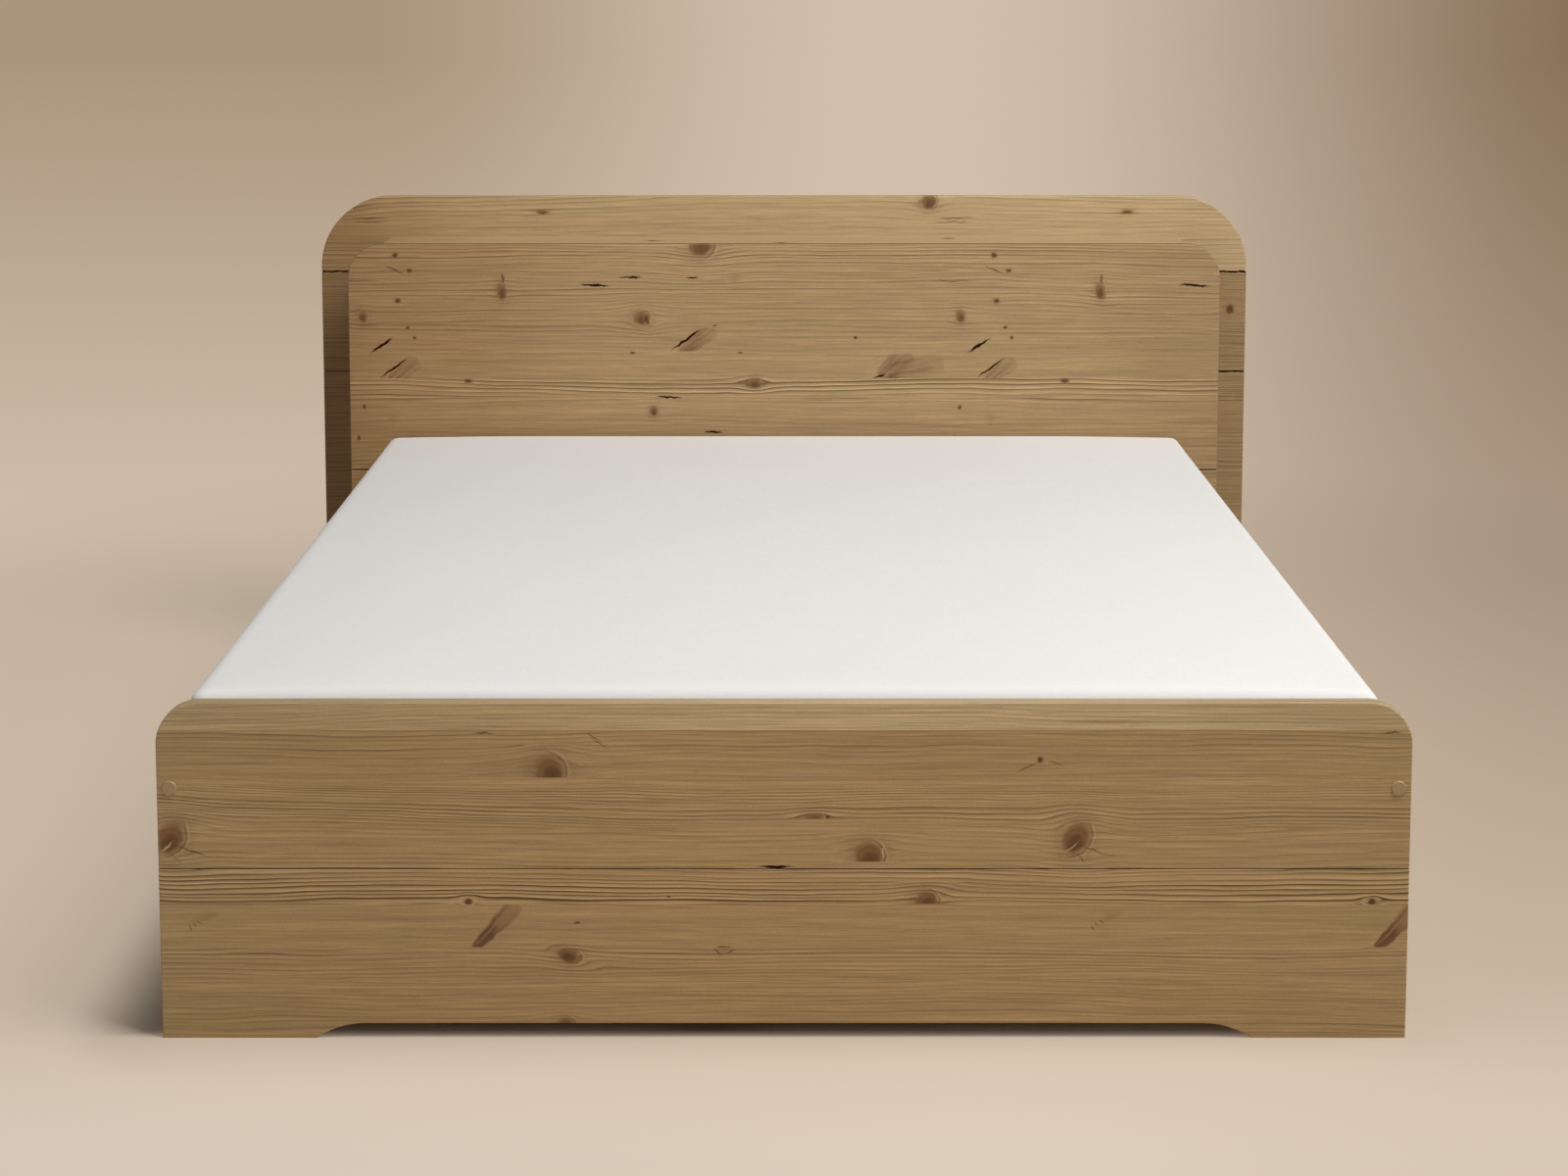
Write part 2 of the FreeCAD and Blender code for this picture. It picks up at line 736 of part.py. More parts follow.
def make_slats():
    """Slats with eased long edges, and the two ribbons below that keep them apart."""
    made = []
    for index in range(SLATS):
        start = f"{FOOT_BACK} + slat_end_gap + {index} * {SLAT_PITCH}"
        body = new_body(f"slat_{index + 1:02d}", start)
        sketch = new_sketch(body, "YZ_Plane", f"-{SLAT_HALF}")
        draw_outline(sketch, rectangle("0", "slat_level", "slat_width", SLAT_TOP))
        pad(body, sketch, f"2 * {SLAT_HALF}")
        round_edges(body, lambda edge: runs_along(edge, "x"), "slat_ease", "Chamfer")
        made.append(body)
    for name, side in SIDES.items():
        ribbon = strip(
            f"slat_ribbon_{name}",
            f"{side} * ribbon_reach - ribbon_width / 2",
            f"{FOOT_BACK} + slat_end_gap + slat_ease",
            "slat_level - ribbon_thick",
            "ribbon_width",
            f"{INNER_LENGTH} - 2 * slat_end_gap - 2 * slat_ease",
            "ribbon_thick",
        )
        made.append(ribbon)
    return made


def make_beam():
    """The beam under the middle of the slats, with mortises for its legs."""
    body = new_body("centre_beam", f"{FOOT_BACK} + bracket_sheet + beam_end_gap")
    length = f"({INNER_LENGTH} - 2 * (bracket_sheet + beam_end_gap))"
    sketch = new_sketch(body, "XZ_Plane")
    corners = rectangle("-beam_width / 2", BEAM_LOW, "beam_width / 2", "slat_level")
    draw_outline(sketch, corners)
    pad(body, sketch, length)
    round_edges(body, lambda edge: runs_along(edge, "y"), "beam_ease", "Chamfer")
    half = "(tenon_width / 2 + fit_gap)"
    mortises = [
        rectangle(
            f"-{half}", f"{length} / 2 + {end} * leg_spread / 2 - {half}",
            half, f"{length} / 2 + {end} * leg_spread / 2 + {half}",
        )
        for end in ENDS.values()
    ]
    groove(body, mortises, "tenon_height + fit_gap", "XY_Plane", BEAM_LOW, 1)
    return [body]


def make_brackets():
    """Folded steel hangers that hold the ends of the beam on the two boards."""
    made = []
    for name, y, turned in (("foot", FOOT_BACK, False), ("head", HEAD_FRONT, True)):
        body = new_body(f"beam_bracket_{name}", y)
        if turned:
            body.Placement.Rotation = FreeCAD.Rotation(FreeCAD.Vector(0, 0, 1), 180)
        inner = "(beam_width / 2 + bracket_side_gap)"
        outer = f"({inner} + bracket_sheet)"
        low = f"({BEAM_LOW} - bracket_sheet)"
        high = "(slat_level - bracket_drop)"
        sketch = new_sketch(body, "XZ_Plane")
        ear = f"({outer} + bracket_ear)"
        draw_outline(sketch, rectangle(f"-{ear}", low, ear, high))
        pad(body, sketch, "bracket_sheet")
        sketch = new_sketch(body, "XZ_Plane")
        cradle = [
            (f"-{outer}", low),
            (outer, low),
            (outer, high),
            (inner, high),
            (inner, BEAM_LOW),
            (f"-{inner}", BEAM_LOW),
            (f"-{inner}", high),
            (f"-{outer}", high),
        ]
        draw_outline(sketch, cradle)
        pad(body, sketch, "bracket_reach")
        middle = f"({outer} + bracket_ear / 2)"
        spots = [(f"{side} * {middle}", f"({low} + {high}) / 2") for side in SIDES.values()]
        drill(body, spots, "bracket_hole", "bracket_sheet + overrun")
        made.append(body)
    return made


def make_legs():
    """Two posts under the beam, tenoned into it, each on a round glide."""
    made, glides = [], []
    middle = f"({FOOT_BACK} + {INNER_LENGTH} / 2)"
    for name, end in ENDS.items():
        y = f"({middle} + {end} * leg_spread / 2)"
        body = new_body(f"centre_leg_{name}", y)
        for half, low, high in (
            ("leg_width / 2", "glide_height", BEAM_LOW),
            ("tenon_width / 2", BEAM_LOW, f"({BEAM_LOW} + tenon_height)"),
        ):
            sketch = new_sketch(body, "XY_Plane", low)
            draw_outline(sketch, rectangle(f"-{half}", f"-{half}", half, half))
            pad(body, sketch, f"{high} - {low}")
            if low == "glide_height":
                round_edges(body, lambda edge: runs_along(edge, "z"), "leg_ease", "Chamfer")
        made.append(body)

        glide = doc.addObject("Part::Cone", "Glide")
        glide.setExpression("Radius1", sized("glide_width / 2 - glide_ease"))
        glide.setExpression("Radius2", sized("glide_width / 2"))
        glide.setExpression("Height", sized("glide_height"))
        place(glide, "0", y, "0")
        glides.append(glide)
    return made + [group("leg_glides", glides)]


def bed_bolt_seats():
    """Where the four bolts' heads rest: X, Y, and whether the bolt points to the foot."""
    seats = []
    for side in SIDES.values():
        x = f"{side} * {BOLT_X}"
        seats.append((x, f"{FOOT_FRONT} + bore_depth", False))
        seats.append((x, f"{CASE_FRONT} - bore_depth", True))
    return seats


def make_bolts():
    """Bed bolts with a round socket head, their barrel nuts in the rails, and the caps."""
    shank = "foot_thick - bore_depth + nut_inset + bolt_past_nut"
    bolt = new_body("BedBolt")
    revolve(
        bolt,
        [
            ("0", "-head_height"),
            ("head_width / 2", "-head_height"),
            ("head_width / 2", "0"),
            ("bolt_width / 2", "0"),
            ("bolt_width / 2", shank),
            ("0", shank),
        ],
    )
    sketch = new_sketch(bolt, "XZ_Plane", "-head_height")
    flat, half, point = (
        "socket_across / 2",
        "socket_across / 2 / sqrt(3)",
        "socket_across / sqrt(3)",
    )
    hexagon = [
        (flat, f"-{half}"),
        (flat, half),
        ("0", point),
        (f"-{flat}", half),
        (f"-{flat}", f"-{half}"),
        ("0", f"-{point}"),
    ]
    draw_outline(sketch, hexagon)
    cut(bolt, sketch, "socket_depth", 1)

    nut = new_body("BarrelNut")
    sketch = new_sketch(nut, "YZ_Plane", "-nut_length / 2")
    sketch.addGeometry(
        Part.Circle(FreeCAD.Vector(0, 0, 0), FreeCAD.Vector(0, 0, 1), number("nut_width / 2")),
        False,
    )
    sketch.addConstraint(Sketcher.Constraint("Coincident", 0, 3, -1, 1))
    bind(sketch, "Diameter", 0, to="nut_width")
    pad(nut, sketch, "nut_length")
    wide = "bolt_width + 2 * thread_fit"
    drill(nut, [("0", "0")], wide, "nut_width + 2 * overrun", level="-nut_width / 2 - overrun")
    reach, half = "(nut_width / 2 + overrun)", "nut_slot_width / 2"
    slot = rectangle(f"-{reach}", f"-{half}", reach, half)
    groove(nut, [slot], "nut_slot_depth", "YZ_Plane", "-nut_length / 2", 1)

    cap = new_body("BoltCap")
    revolve(
        cap,
        [
            ("0", "-cap_proud"),
            ("cap_width / 2 - cap_ease", "-cap_proud"),
            ("cap_width / 2", "cap_ease - cap_proud"),
            ("cap_width / 2", "0"),
            ("bore_width / 2 - cap_stem_fit", "0"),
            ("bore_width / 2 - cap_stem_fit", "cap_stem"),
            ("0", "cap_stem"),
        ],
    )
    doc.recompute()

    bolts, nuts, caps = [], [], []
    for x, y, turned in bed_bolt_seats():
        bolts.append(link(bolt, "Bolt", x, y, "bolt_level", turned))
        if not turned:
            caps.append(link(cap, "Cap", x, FOOT_FRONT, "bolt_level"))
        inset = f"({HEAD_FRONT} - nut_inset)" if turned else f"({FOOT_BACK} + nut_inset)"
        nuts.append(link(nut, "Nut", x, inset, "bolt_level", number(x) < 0))
    return [
        group("bed_bolts", bolts),
        group("barrel_nuts", nuts),
        group("bolt_caps", caps),
    ]


def make_dowels():
    """A dowel under each bed bolt, half in the panel and half in the rail."""
    length = "dowel_in_panel + dowel_in_rail"
    pins = []
    for x, z in rail_dowel_spots():
        pins.append(dowel(x, f"{FOOT_BACK} - dowel_in_panel", z, length))
        pins.append(dowel(x, f"{HEAD_FRONT} - dowel_in_rail", z, length))
    return [group("rail_dowels", pins)]


# The mattress's side, from its underside up: height as a share of its thickness,
# and how far the side is drawn in as a share of its edge radius.
MATTRESS_SIDE_SHARES = [
    (0, 0.6),
    (0.03, 0.2),
    (0.10, 0),
    (0.48, 0.3),
    (0.86, 0),
    (0.925, 0.2),
    (0.955, 0.6),
]
# How far in the top starts, as a share of the edge radius
TOP_EDGE_SHARE = 1.4


def make_mattress():
    """A soft closed form: sides drawn in between rounded edges, and a low crown."""
    body = new_body("mattress", f"{FOOT_BACK} + end_gap + mattress_length / 2")
    sections = [
        (f"{height} * mattress_thick", f"{inset} * mattress_edge")
        for height, inset in MATTRESS_SIDE_SHARES
    ]
    top_inset = f"{TOP_EDGE_SHARE} * mattress_edge"
    sections.append(("mattress_thick - mattress_crown", top_inset))
    sections.append(("mattress_thick", "crown_inset"))
    sketches = []
    for height, inset in sections:
        sketch = new_sketch(body, "XY_Plane", f"{MATTRESS_LOW} + {height}")
        wide = f"(mattress_width / 2 - {inset})"
        long = f"(mattress_length / 2 - {inset})"
        near_x, near_y = f"({wide} - mattress_corner)", f"({long} - mattress_corner)"
        points = [
            (f"-{near_x}", f"-{long}"),
            (near_x, f"-{long}"),
            (wide, f"-{near_y}"),
            (wide, near_y),
            (near_x, long),
            (f"-{near_x}", long),
            (f"-{wide}", near_y),
            (f"-{wide}", f"-{near_y}"),
        ]
        draw_outline(sketch, points, [(1, -1), (3, -1), (5, -1), (7, -1)])
        sketches.append(sketch)
    doc.recompute()
    loft = body.newObject("PartDesign::AdditiveLoft", "Loft")
    loft.Profile = sketches[0]
    loft.Sections = sketches[1:]
    loft.Ruled = True
    return [body]


def check_document(nodes):
    """Stops on a failed object, an empty or broken shape, or a cut that removed nothing."""
    for item in doc.Objects:
        if "Invalid" in item.State or "Error" in item.State:
            raise RuntimeError(f"{item.Name} ({item.Label}) failed: {item.State}")
    for item in doc.Objects:
        if item.TypeId == "PartDesign::Pocket":
            before = item.BaseFeature.Shape.Volume
            if item.Shape.Volume > before - Part.Precision.confusion():
                raise RuntimeError(f"{item.Name} cuts nothing")
    for node in nodes:
        if node.Shape.isNull() or not node.Shape.isValid() or not node.Shape.Solids:
            raise RuntimeError(f"{node.Label} has no valid solid")


nodes = (
    make_footboard()
    + make_front_panel()
    + make_rear_panel()
    + make_dividers()
    + make_shelves()
    + make_case_top()
    + make_rails()
    + make_ledges()
    + make_slats()
    + make_beam()
    + make_brackets()
    + make_legs()
    + make_bolts()
    + make_dowels()
    + make_mattress()
)
doc.recompute()
check_document(nodes)
os.makedirs("parts", exist_ok=True)
for node in nodes:
    node.Shape.exportStep(f"parts/{node.Label}.step")
print(len(nodes), "nodes,", sum(len(node.Shape.Solids) for node in nodes), "solids")
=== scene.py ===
import fnmatch
import math
from collections import namedtuple
from functools import cache, reduce
from itertools import product

import bmesh
import bpy
from mathutils import Matrix, Vector
from mathutils.bvhtree import BVHTree


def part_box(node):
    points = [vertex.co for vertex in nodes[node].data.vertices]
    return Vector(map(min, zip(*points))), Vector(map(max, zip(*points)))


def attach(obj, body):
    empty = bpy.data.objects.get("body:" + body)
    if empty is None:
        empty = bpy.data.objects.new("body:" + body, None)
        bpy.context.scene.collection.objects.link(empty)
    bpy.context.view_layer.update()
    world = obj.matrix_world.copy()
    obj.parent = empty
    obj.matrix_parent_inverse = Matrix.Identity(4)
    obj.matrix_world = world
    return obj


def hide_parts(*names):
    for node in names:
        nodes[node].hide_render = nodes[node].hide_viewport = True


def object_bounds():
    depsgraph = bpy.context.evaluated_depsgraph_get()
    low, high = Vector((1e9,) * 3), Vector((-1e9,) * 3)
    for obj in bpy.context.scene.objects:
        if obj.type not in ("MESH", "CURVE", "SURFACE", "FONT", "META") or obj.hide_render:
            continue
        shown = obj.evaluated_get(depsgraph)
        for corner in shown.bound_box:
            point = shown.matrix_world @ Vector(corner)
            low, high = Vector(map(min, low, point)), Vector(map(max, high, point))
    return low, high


# A pine bookcase bed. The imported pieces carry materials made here, and the mattress and the small
# fasteners are modelled here. Everything is in metres, with -Y the foot end and +Z up.

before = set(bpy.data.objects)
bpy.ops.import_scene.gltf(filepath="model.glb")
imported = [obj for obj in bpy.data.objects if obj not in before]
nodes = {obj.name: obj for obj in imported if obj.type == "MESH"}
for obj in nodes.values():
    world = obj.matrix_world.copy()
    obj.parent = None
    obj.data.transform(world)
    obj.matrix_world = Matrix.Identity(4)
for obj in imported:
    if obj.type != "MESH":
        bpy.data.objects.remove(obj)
cad_low, cad_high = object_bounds()
scene = bpy.context.scene
MM = 0.001

# The camera, in the 1600 by 1200 frame that all pixel places here are given in
FRAME_WIDTH, FRAME_HEIGHT = 1600, 1200
FOCAL_PIXELS = 2945
SENSOR = 36
PITCH = math.radians(6.67)
SHIFT = -0.2
EYE = Vector((0, -4.815, 1.461))


def add_camera():
    """The photograph's viewpoint, a little above the bed and straight in front of it."""
    data = bpy.data.cameras.new("camera")
    data.sensor_width = SENSOR
    data.lens = FOCAL_PIXELS / FRAME_WIDTH * SENSOR
    data.shift_y = SHIFT
    camera = bpy.data.objects.new("camera", data)
    camera.location = EYE
    camera.rotation_euler = (math.pi / 2 - PITCH, 0, 0)
    scene.collection.objects.link(camera)
    scene.camera = camera


def sideways(column):
    """How far right of the view's middle a column shows, per distance ahead."""
    return (column - FRAME_WIDTH / 2) / FOCAL_PIXELS


def upward(row):
    """How far above the view's middle a row shows, per distance ahead."""
    return (FRAME_HEIGHT / 2 - row + SHIFT * FRAME_WIDTH) / FOCAL_PIXELS


def seen_at(x, y, depth):
    """The place (X, Z) on an upright plane at Y = depth that a pixel shows, and metres per pixel."""
    up = upward(y)
    forward = math.cos(PITCH) + up * math.sin(PITCH)
    rise = up * math.cos(PITCH) - math.sin(PITCH)
    reach = (depth - EYE.y) / forward
    return EYE.x + reach * sideways(x), EYE.z + reach * rise, reach / FOCAL_PIXELS


class Tree:
    """Writes the nodes of a new material or world. Most calls add a node and return its output."""

    def __init__(self, name, blocks=bpy.data.materials):
        self.owner = blocks.new(name)
        self.owner.use_nodes = True
        self.graph = self.owner.node_tree
        self.graph.nodes.clear()

    def node(self, kind, inputs=(), out=0, **settings):
        made = self.graph.nodes.new(kind)
        for key, value in settings.items():
            setattr(made, key, value)
        for key, value in dict(inputs).items():
            if isinstance(value, bpy.types.NodeSocket):
                self.graph.links.new(value, made.inputs[key])
            else:
                made.inputs[key].default_value = value
        return None if out is None else made.outputs[out]

    def place(self):
        return self.node("ShaderNodeTexCoord", out="Object")

    def math(self, operation, *values):
        return self.node("ShaderNodeMath", enumerate(values), operation=operation)

    def times(self, *factors):
        return reduce(lambda one, other: self.math("MULTIPLY", one, other), factors)

    def plus(self, *terms):
        return reduce(lambda one, other: self.math("ADD", one, other), terms)

    def scale(self, value, factor, offset):
        return self.math("MULTIPLY_ADD", value, factor, offset)

    def minus(self, one, other):
        return self.math("SUBTRACT", one, other)

    def vector(self, operation, *values, out=0, **more):
        sockets = {**dict(enumerate(values)), **more}
        return self.node("ShaderNodeVectorMath", sockets, out, operation=operation)

    def length(self, vector):
        return self.vector("LENGTH", vector, out="Value")

    def combine(self, x=0, y=0, z=0):
        return self.node("ShaderNodeCombineXYZ", {0: x, 1: y, 2: z})

    def noise(self, vector, scale=1, detail=2, rough=0.5, out=0):
        sockets = {"Vector": vector, "Scale": scale, "Detail": detail, "Roughness": rough}
        return self.node("ShaderNodeTexNoise", sockets, out)

    def shaken(self, vector, noise, amount):
        """A vector moved by a noise's colour, by up to half an amount each way."""
        move = self.vector("MULTIPLY_ADD", noise, (amount,) * 3, (-amount / 2,) * 3)
        return self.vector("ADD", vector, move)

    def spread(self, value, low, high, to_low=0, to_high=1, kind="LINEAR"):
        """Brings low to to_low and high to to_high, in a straight line that is level beyond them."""
        sockets = {0: value, 1: low, 2: high, 3: to_low, 4: to_high}
        return self.node("ShaderNodeMapRange", sockets, interpolation_type=kind)

    def ease(self, *values):
        """What spread does, with a soft start and end."""
        return self.spread(*values, kind="SMOOTHSTEP")

    def ramp(self, value, stops, kind="LINEAR"):
        """A colour ramp: stops are pairs of a place and the three parts of a colour."""
        color = self.node("ShaderNodeValToRGB", {0: value})
        ramp = color.node.color_ramp
        ramp.interpolation = kind
        while len(ramp.elements) < len(stops):
            ramp.elements.new(1)
        for element, (where, tint) in zip(ramp.elements, stops):
            element.position = where
            element.color = (*tint, 1)
        return color

    def split(self, value, kind="Color"):
        return self.node(f"ShaderNodeSeparate{kind}", {0: value}).node.outputs

    def mix(self, factor, a, b, blend="MIX"):
        sockets = {0: factor, 6: a, 7: b}
        return self.node("ShaderNodeMix", sockets, 2, data_type="RGBA", blend_type=blend)

    def cover(self, color, far, start, full, strength, tint):
        """A colour with a tint over it, from none at one distance to its full strength at another."""
        return self.mix(self.ease(far, start, full, 0, strength), color, tint)

    def bump(self, height, distance, strength):
        sockets = {"Height": height, "Distance": distance, "Strength": strength}
        return self.node("ShaderNodeBump", sockets)

    def surface(self, **inputs):
        """Ends the tree with a Principled shader whose sockets are named with spaces as _."""
        named = {key.replace("_", " "): value for key, value in inputs.items()}
        shader = self.node("ShaderNodeBsdfPrincipled", named)
        self.node("ShaderNodeOutputMaterial", {0: shader}, out=None)
        return self.owner


def linear(red, green, blue):
    """A colour written as 8-bit screen values, as the renderer's linear values."""
    parts = [part / 255 for part in (red, green, blue)]
    bent = [p / 12.92 if p <= 0.04045 else ((p + 0.055) / 1.055) ** 2.4 for p in parts]
    return (*bent, 1)


# Pine's own colours; the pale one is also a painted highlight beside the growth lines
EARLY_WOOD = linear(186, 156, 113)
WARM_WOOD = linear(188, 155, 114)
OLIVE_WOOD = linear(182, 156, 109)
PALE_WOOD_AND_HIGHLIGHT = linear(224, 197, 151)
LATE_WOOD = linear(116, 84, 49)
KNOT_HEART = linear(98, 64, 36)
KNOT_BODY = linear(148, 111, 72)
KNOT_RIM = linear(90, 58, 32)
CRACK = linear(50, 24, 8)
DOT_HEART = linear(92, 60, 36)
DOT_RIM = linear(116, 80, 52)
SILVER_WOOD = linear(226, 204, 164)
SPIKE = linear(152, 116, 82)
SPIKE_DARK = linear(106, 72, 47)

# A mark on a board, in the lists below under its kind: where it shows in the frame, half its
# width and height in pixels, its tilt in degrees, the rows between which it shows where a joint
# between staves cuts it, how much it widens upward, and its strength
Mark = namedtuple("Mark", "kind x y wide high tilt cut taper strength", defaults=(0, None, 0, 1))

# The staves of a board: the row where each ends below, its tone, its growth lines' gap in mm,
# which is at most GAP_LIMIT, and how they lean through the thickness
GAP_LIMIT = 20
FOOT_STAVES = [
    (745, 0.97, 5.2, 0.5), (794, 1.00, 6.4, -0.7), (847, 1.06, 4.7, 0.8),
    (887, 1.06, 8.6, 0.8), (923, 1.10, 6.0, -0.4), (1001, 1.05, 5.6, 0.6),
    (1065, 1.05, 6.0, 0.6),
]
# How strong the growth lines are at each row
FOOT_LINES = [
    (713, 0.22), (744, 0.28), (750, 0.50), (772, 0.48), (786, 0.22), (800, 0.20), (808, 0.86),
    (832, 0.98), (842, 0.60), (850, 0.28), (868, 0.36), (884, 0.60), (889, 1.45), (919, 1.45),
    (926, 0.04), (964, 0.06), (976, 0.80), (990, 0.65), (997, 0.22), (1020, 0.45), (1060, 0.35),
]
FOOT_MARKS = {
    "knot": [
        (560, 787, 15, 17, 20, (760, 793.5)), (1098, 855, 13, 17, -30),
        (886, 873, 14.5, 14, 0, (850, 879.5)), (830, 836, 9, 6, 0, (820, 835.5)),
        (945, 919, 11, 10, 10, (900, 922)), (579.5, 974.5, 12, 7.5, -18), (577, 1045, 9, 7),
    ],
    "pale": [(739, 968, 11, 8, 0, (966, 990)), (1134, 935, 12, 5, 20), (1130, 737, 40, 3)],
    "light": [(1094, 864.5, 9.5, 0.9, 43), (901, 870, 1, 9, -8)],
    "dot": [
        (478, 920, 4.2, 3.4, 0, (910, 923)), (1062, 775, 3.4, 3.6), (589, 941, 3, 1.4),
        (845, 833.5, 2.5, 1.2), (682, 915, 2.4, 1),
    ],
    "spike": [(506, 945, 8.2, 34, -43, (923.5, 966.5), 0.35, 0.9)],
    "crack": [(791, 884.5, 18, 1.7), (515, 713.5, 12, 1.8)],
    "line": [
        (1048, 783, 13, 0.9, 26), (1078, 779, 11, 0.7, -14), (1118, 868, 24, 0.9, -21),
        (1103, 876, 9, 0.6, -45), (739, 966.5, 9, 1), (732, 971, 6, 0.9, -28),
        (746, 971, 6, 0.9, 28), (606, 753, 10, 0.7, -30), (612, 759, 13, 0.7, -32),
        (493, 748, 12, 1.3), (1115, 947, 4, 0.7, -55), (1119, 943, 4, 0.7, -50),
        (1124, 940, 4, 0.7, -45),
    ],
}

HEAD_STAVES = [
    (277, 0.94, 8.4, 0.6), (332, 0.93, 8.0, -0.5), (359, 0.91, 8.8, 0.7),
    (386, 0.94, 10.5, -0.6), (407, 1.00, 8.6, 0.5), (481, 0.97, 9.6, -0.4),
    (700, 0.98, 8.0, -0.6),
]
HEAD_LINES = [
    (249, 0.80), (263, 0.95), (270, 0.45), (284, 0.50), (300, 0.45), (318, 0.50), (331, 0.40),
    (345, 0.45), (360, 0.18), (384, 0.14), (388, 1.02), (406, 0.94), (412, 0.22), (440, 0.20),
    (480, 0.45), (600, 0.60),
]
HEAD_MARKS = {
    "dot": [
        (403, 260.5, 3.2, 2.8, 15), (418, 276, 3.2, 2.2), (406, 307, 3.4, 2.6),
        (416, 334, 2.2, 1.7), (423, 344.5, 1.9, 2), (660, 326, 2.4, 5.5, 14), (645.5, 360, 3, 1.1),
        (729.5, 332, 2.1, 1), (755, 359.6, 2.2, 0.9), (263.5, 344.5, 1.9, 1.9),
        (478, 388.8, 4.6, 2.4), (371.6, 415.5, 1.8, 2.4), (366, 447, 2, 2.6),
    ],
    "line": [
        (403, 275.5, 12, 1, -22), (513, 284, 1.6, 6, 4), (302, 385, 16, 0.9),
        (361, 286.6, 26, 0.7),
    ],
    "knot": [
        (369.8, 322.5, 4.6, 6.5, 8), (511.5, 297, 5, 9, 5), (654, 324, 8, 7.5), (714, 249, 13, 13),
        (770, 391, 5.5, 5.5), (667, 419.5, 4, 5),
    ],
    "crack": [
        (389.5, 352.5, 14, 1.7, 34), (402, 375.5, 17, 1.25, 36), (607, 291, 16, 1.6, -4),
        (643, 283, 13, 1), (706, 283.4, 8, 0.8), (701, 346, 20, 1.55, 35), (289, 384, 7, 1.2, 20),
        (683, 405.5, 14, 1.2, -2), (728, 441, 10, 1.3),
    ],
    "spike": [
        (411, 379, 8, 20, -52, (364, 386), 0.3, 0.55),
        (710, 350, 7, 25, -54, (334, 358.5), 0.2, 0.80),
        (304, 373, 11, 21, -48, (361, 385.5), 0.3, 0.70),
        (326, 376, 12, 30, -80, (361, 385.5), 0, 0.45),
    ],
    "pale": [(750, 283, 8, 6, 15), (337, 377, 9, 6, 0, (361, 385.5)), (402, 427.5, 6, 6, -20)],
}

REAR_STAVES = [
    (277, 0.99, 9.5, 0.5), (330, 0.80, 6.5, -0.7), (379, 0.76, 7.0, 0.6),
    (420, 0.82, 5.0, -0.5), (520, 0.80, 8.0, 0.7), (580, 0.84, 6.0, -0.6),
    (700, 0.82, 7.5, 0.4),
]
REAR_LINES = [
    (199, 0.28), (215, 0.42), (232, 0.18), (242, 0.22), (255, 0.60), (276, 0.45), (300, 0.35),
    (350, 0.50), (378, 0.40), (384, 0.90), (398, 0.75), (420, 0.30), (520, 0.45), (600, 0.60),
    (680, 0.50),
]
REAR_MARKS = {
    "knot": [(553, 216.5, 6.5, 2), (948, 205.5, 8, 8)],
    "dot": [(660.5, 315.5, 4.6, 5)],
    "pale": [(672, 404, 5, 8, -20)],
    "line": [(378, 222.5, 20, 0.9), (376, 226.5, 22, 0.8), (424, 248.5, 8, 0.8, 8)],
    "crack": [(343, 277.1, 34, 1.2), (1258, 277.1, 34, 1.2), (1258, 379.2, 34, 1.1)],
}
# The length along the grain after which the marks repeat, and how far their outlines stray
MARK_PERIOD, MARK_STRAY = 1.2, 7 * MM
# How far the top stave of a panel turns to a paler, silvery wood at some pixel columns: partly its
# own tone, partly painted light
FOOT_PALE_AND_LIGHT = [(200, 0.38), (450, 0.46), (850, 0.80), (1150, 0.74), (1400, 0.46)]
REAR_PALE_AND_LIGHT = [(400, 0), (520, 0.27), (800, 0.36), (1100, 0.44), (1240, 0.40)]
# How each panel's colour drifts from column to column, as shares of red, green and blue: partly the
# wood's own colour, partly painted shade that darkens the ends, the left ends of the headboard's
# boards most
FOOT_DRIFT_AND_SHADE = [
    (168, 0.95, 0.98, 0.98), (300, 0.94, 0.95, 0.94), (500, 0.98, 0.97, 0.95),
    (700, 1.02, 1.00, 0.98), (1100, 1.00, 0.99, 0.96), (1434, 0.95, 0.97, 0.95),
]
HEAD_DRIFT_AND_SHADE = [
    (357, 0.80, 0.74, 0.70), (400, 0.86, 0.79, 0.76), (480, 0.89, 0.83, 0.80),
    (640, 0.98, 0.98, 0.98), (1100, 0.98, 0.98, 1.00), (1180, 0.90, 0.91, 0.93),
    (1243, 0.88, 0.90, 0.94),
]
REAR_DRIFT_AND_SHADE = [
    (330, 0.72, 0.65, 0.60), (370, 0.80, 0.74, 0.70), (410, 0.97, 0.95, 0.93),
    (460, 1, 1, 1), (1270, 1, 1, 1),
]
TOP_DRIFT_AND_SHADE = [
    (380, 0.72, 0.66, 0.62), (440, 0.90, 0.86, 0.84), (520, 1, 1, 1),
    (1120, 1, 1, 1), (1210, 0.93, 0.94, 0.98),
]

# The panels that the photograph shows. A face is the front of the piece named there, the marks
# repeat from the start column, and an edge has that share of the light of its face
Panel = namedtuple(
    "Panel", "name face top_row start_column seed edge staves lines marks drift bleach"
)
PANELS = {
    "footboard": Panel(
        name="footboard_pine", face="footboard_upper", top_row=713, start_column=670, seed=3.1,
        edge=0.68, staves=FOOT_STAVES, lines=FOOT_LINES, marks=FOOT_MARKS, drift=FOOT_DRIFT_AND_SHADE,
        bleach=FOOT_PALE_AND_LIGHT,
    ),
    "front_panel": Panel(
        name="front_panel_pine", face="front_panel_upper", top_row=249, start_column=257, seed=7.7,
        edge=0.52, staves=HEAD_STAVES, lines=HEAD_LINES, marks=HEAD_MARKS, drift=HEAD_DRIFT_AND_SHADE,
        bleach=None,
    ),
    "rear_": Panel(
        name="rear_panel_pine", face="rear_panel_top", top_row=199, start_column=300, seed=12.4,
        edge=0.92, staves=REAR_STAVES, lines=REAR_LINES, marks=REAR_MARKS, drift=REAR_DRIFT_AND_SHADE,
        bleach=REAR_PALE_AND_LIGHT,
    ),
}

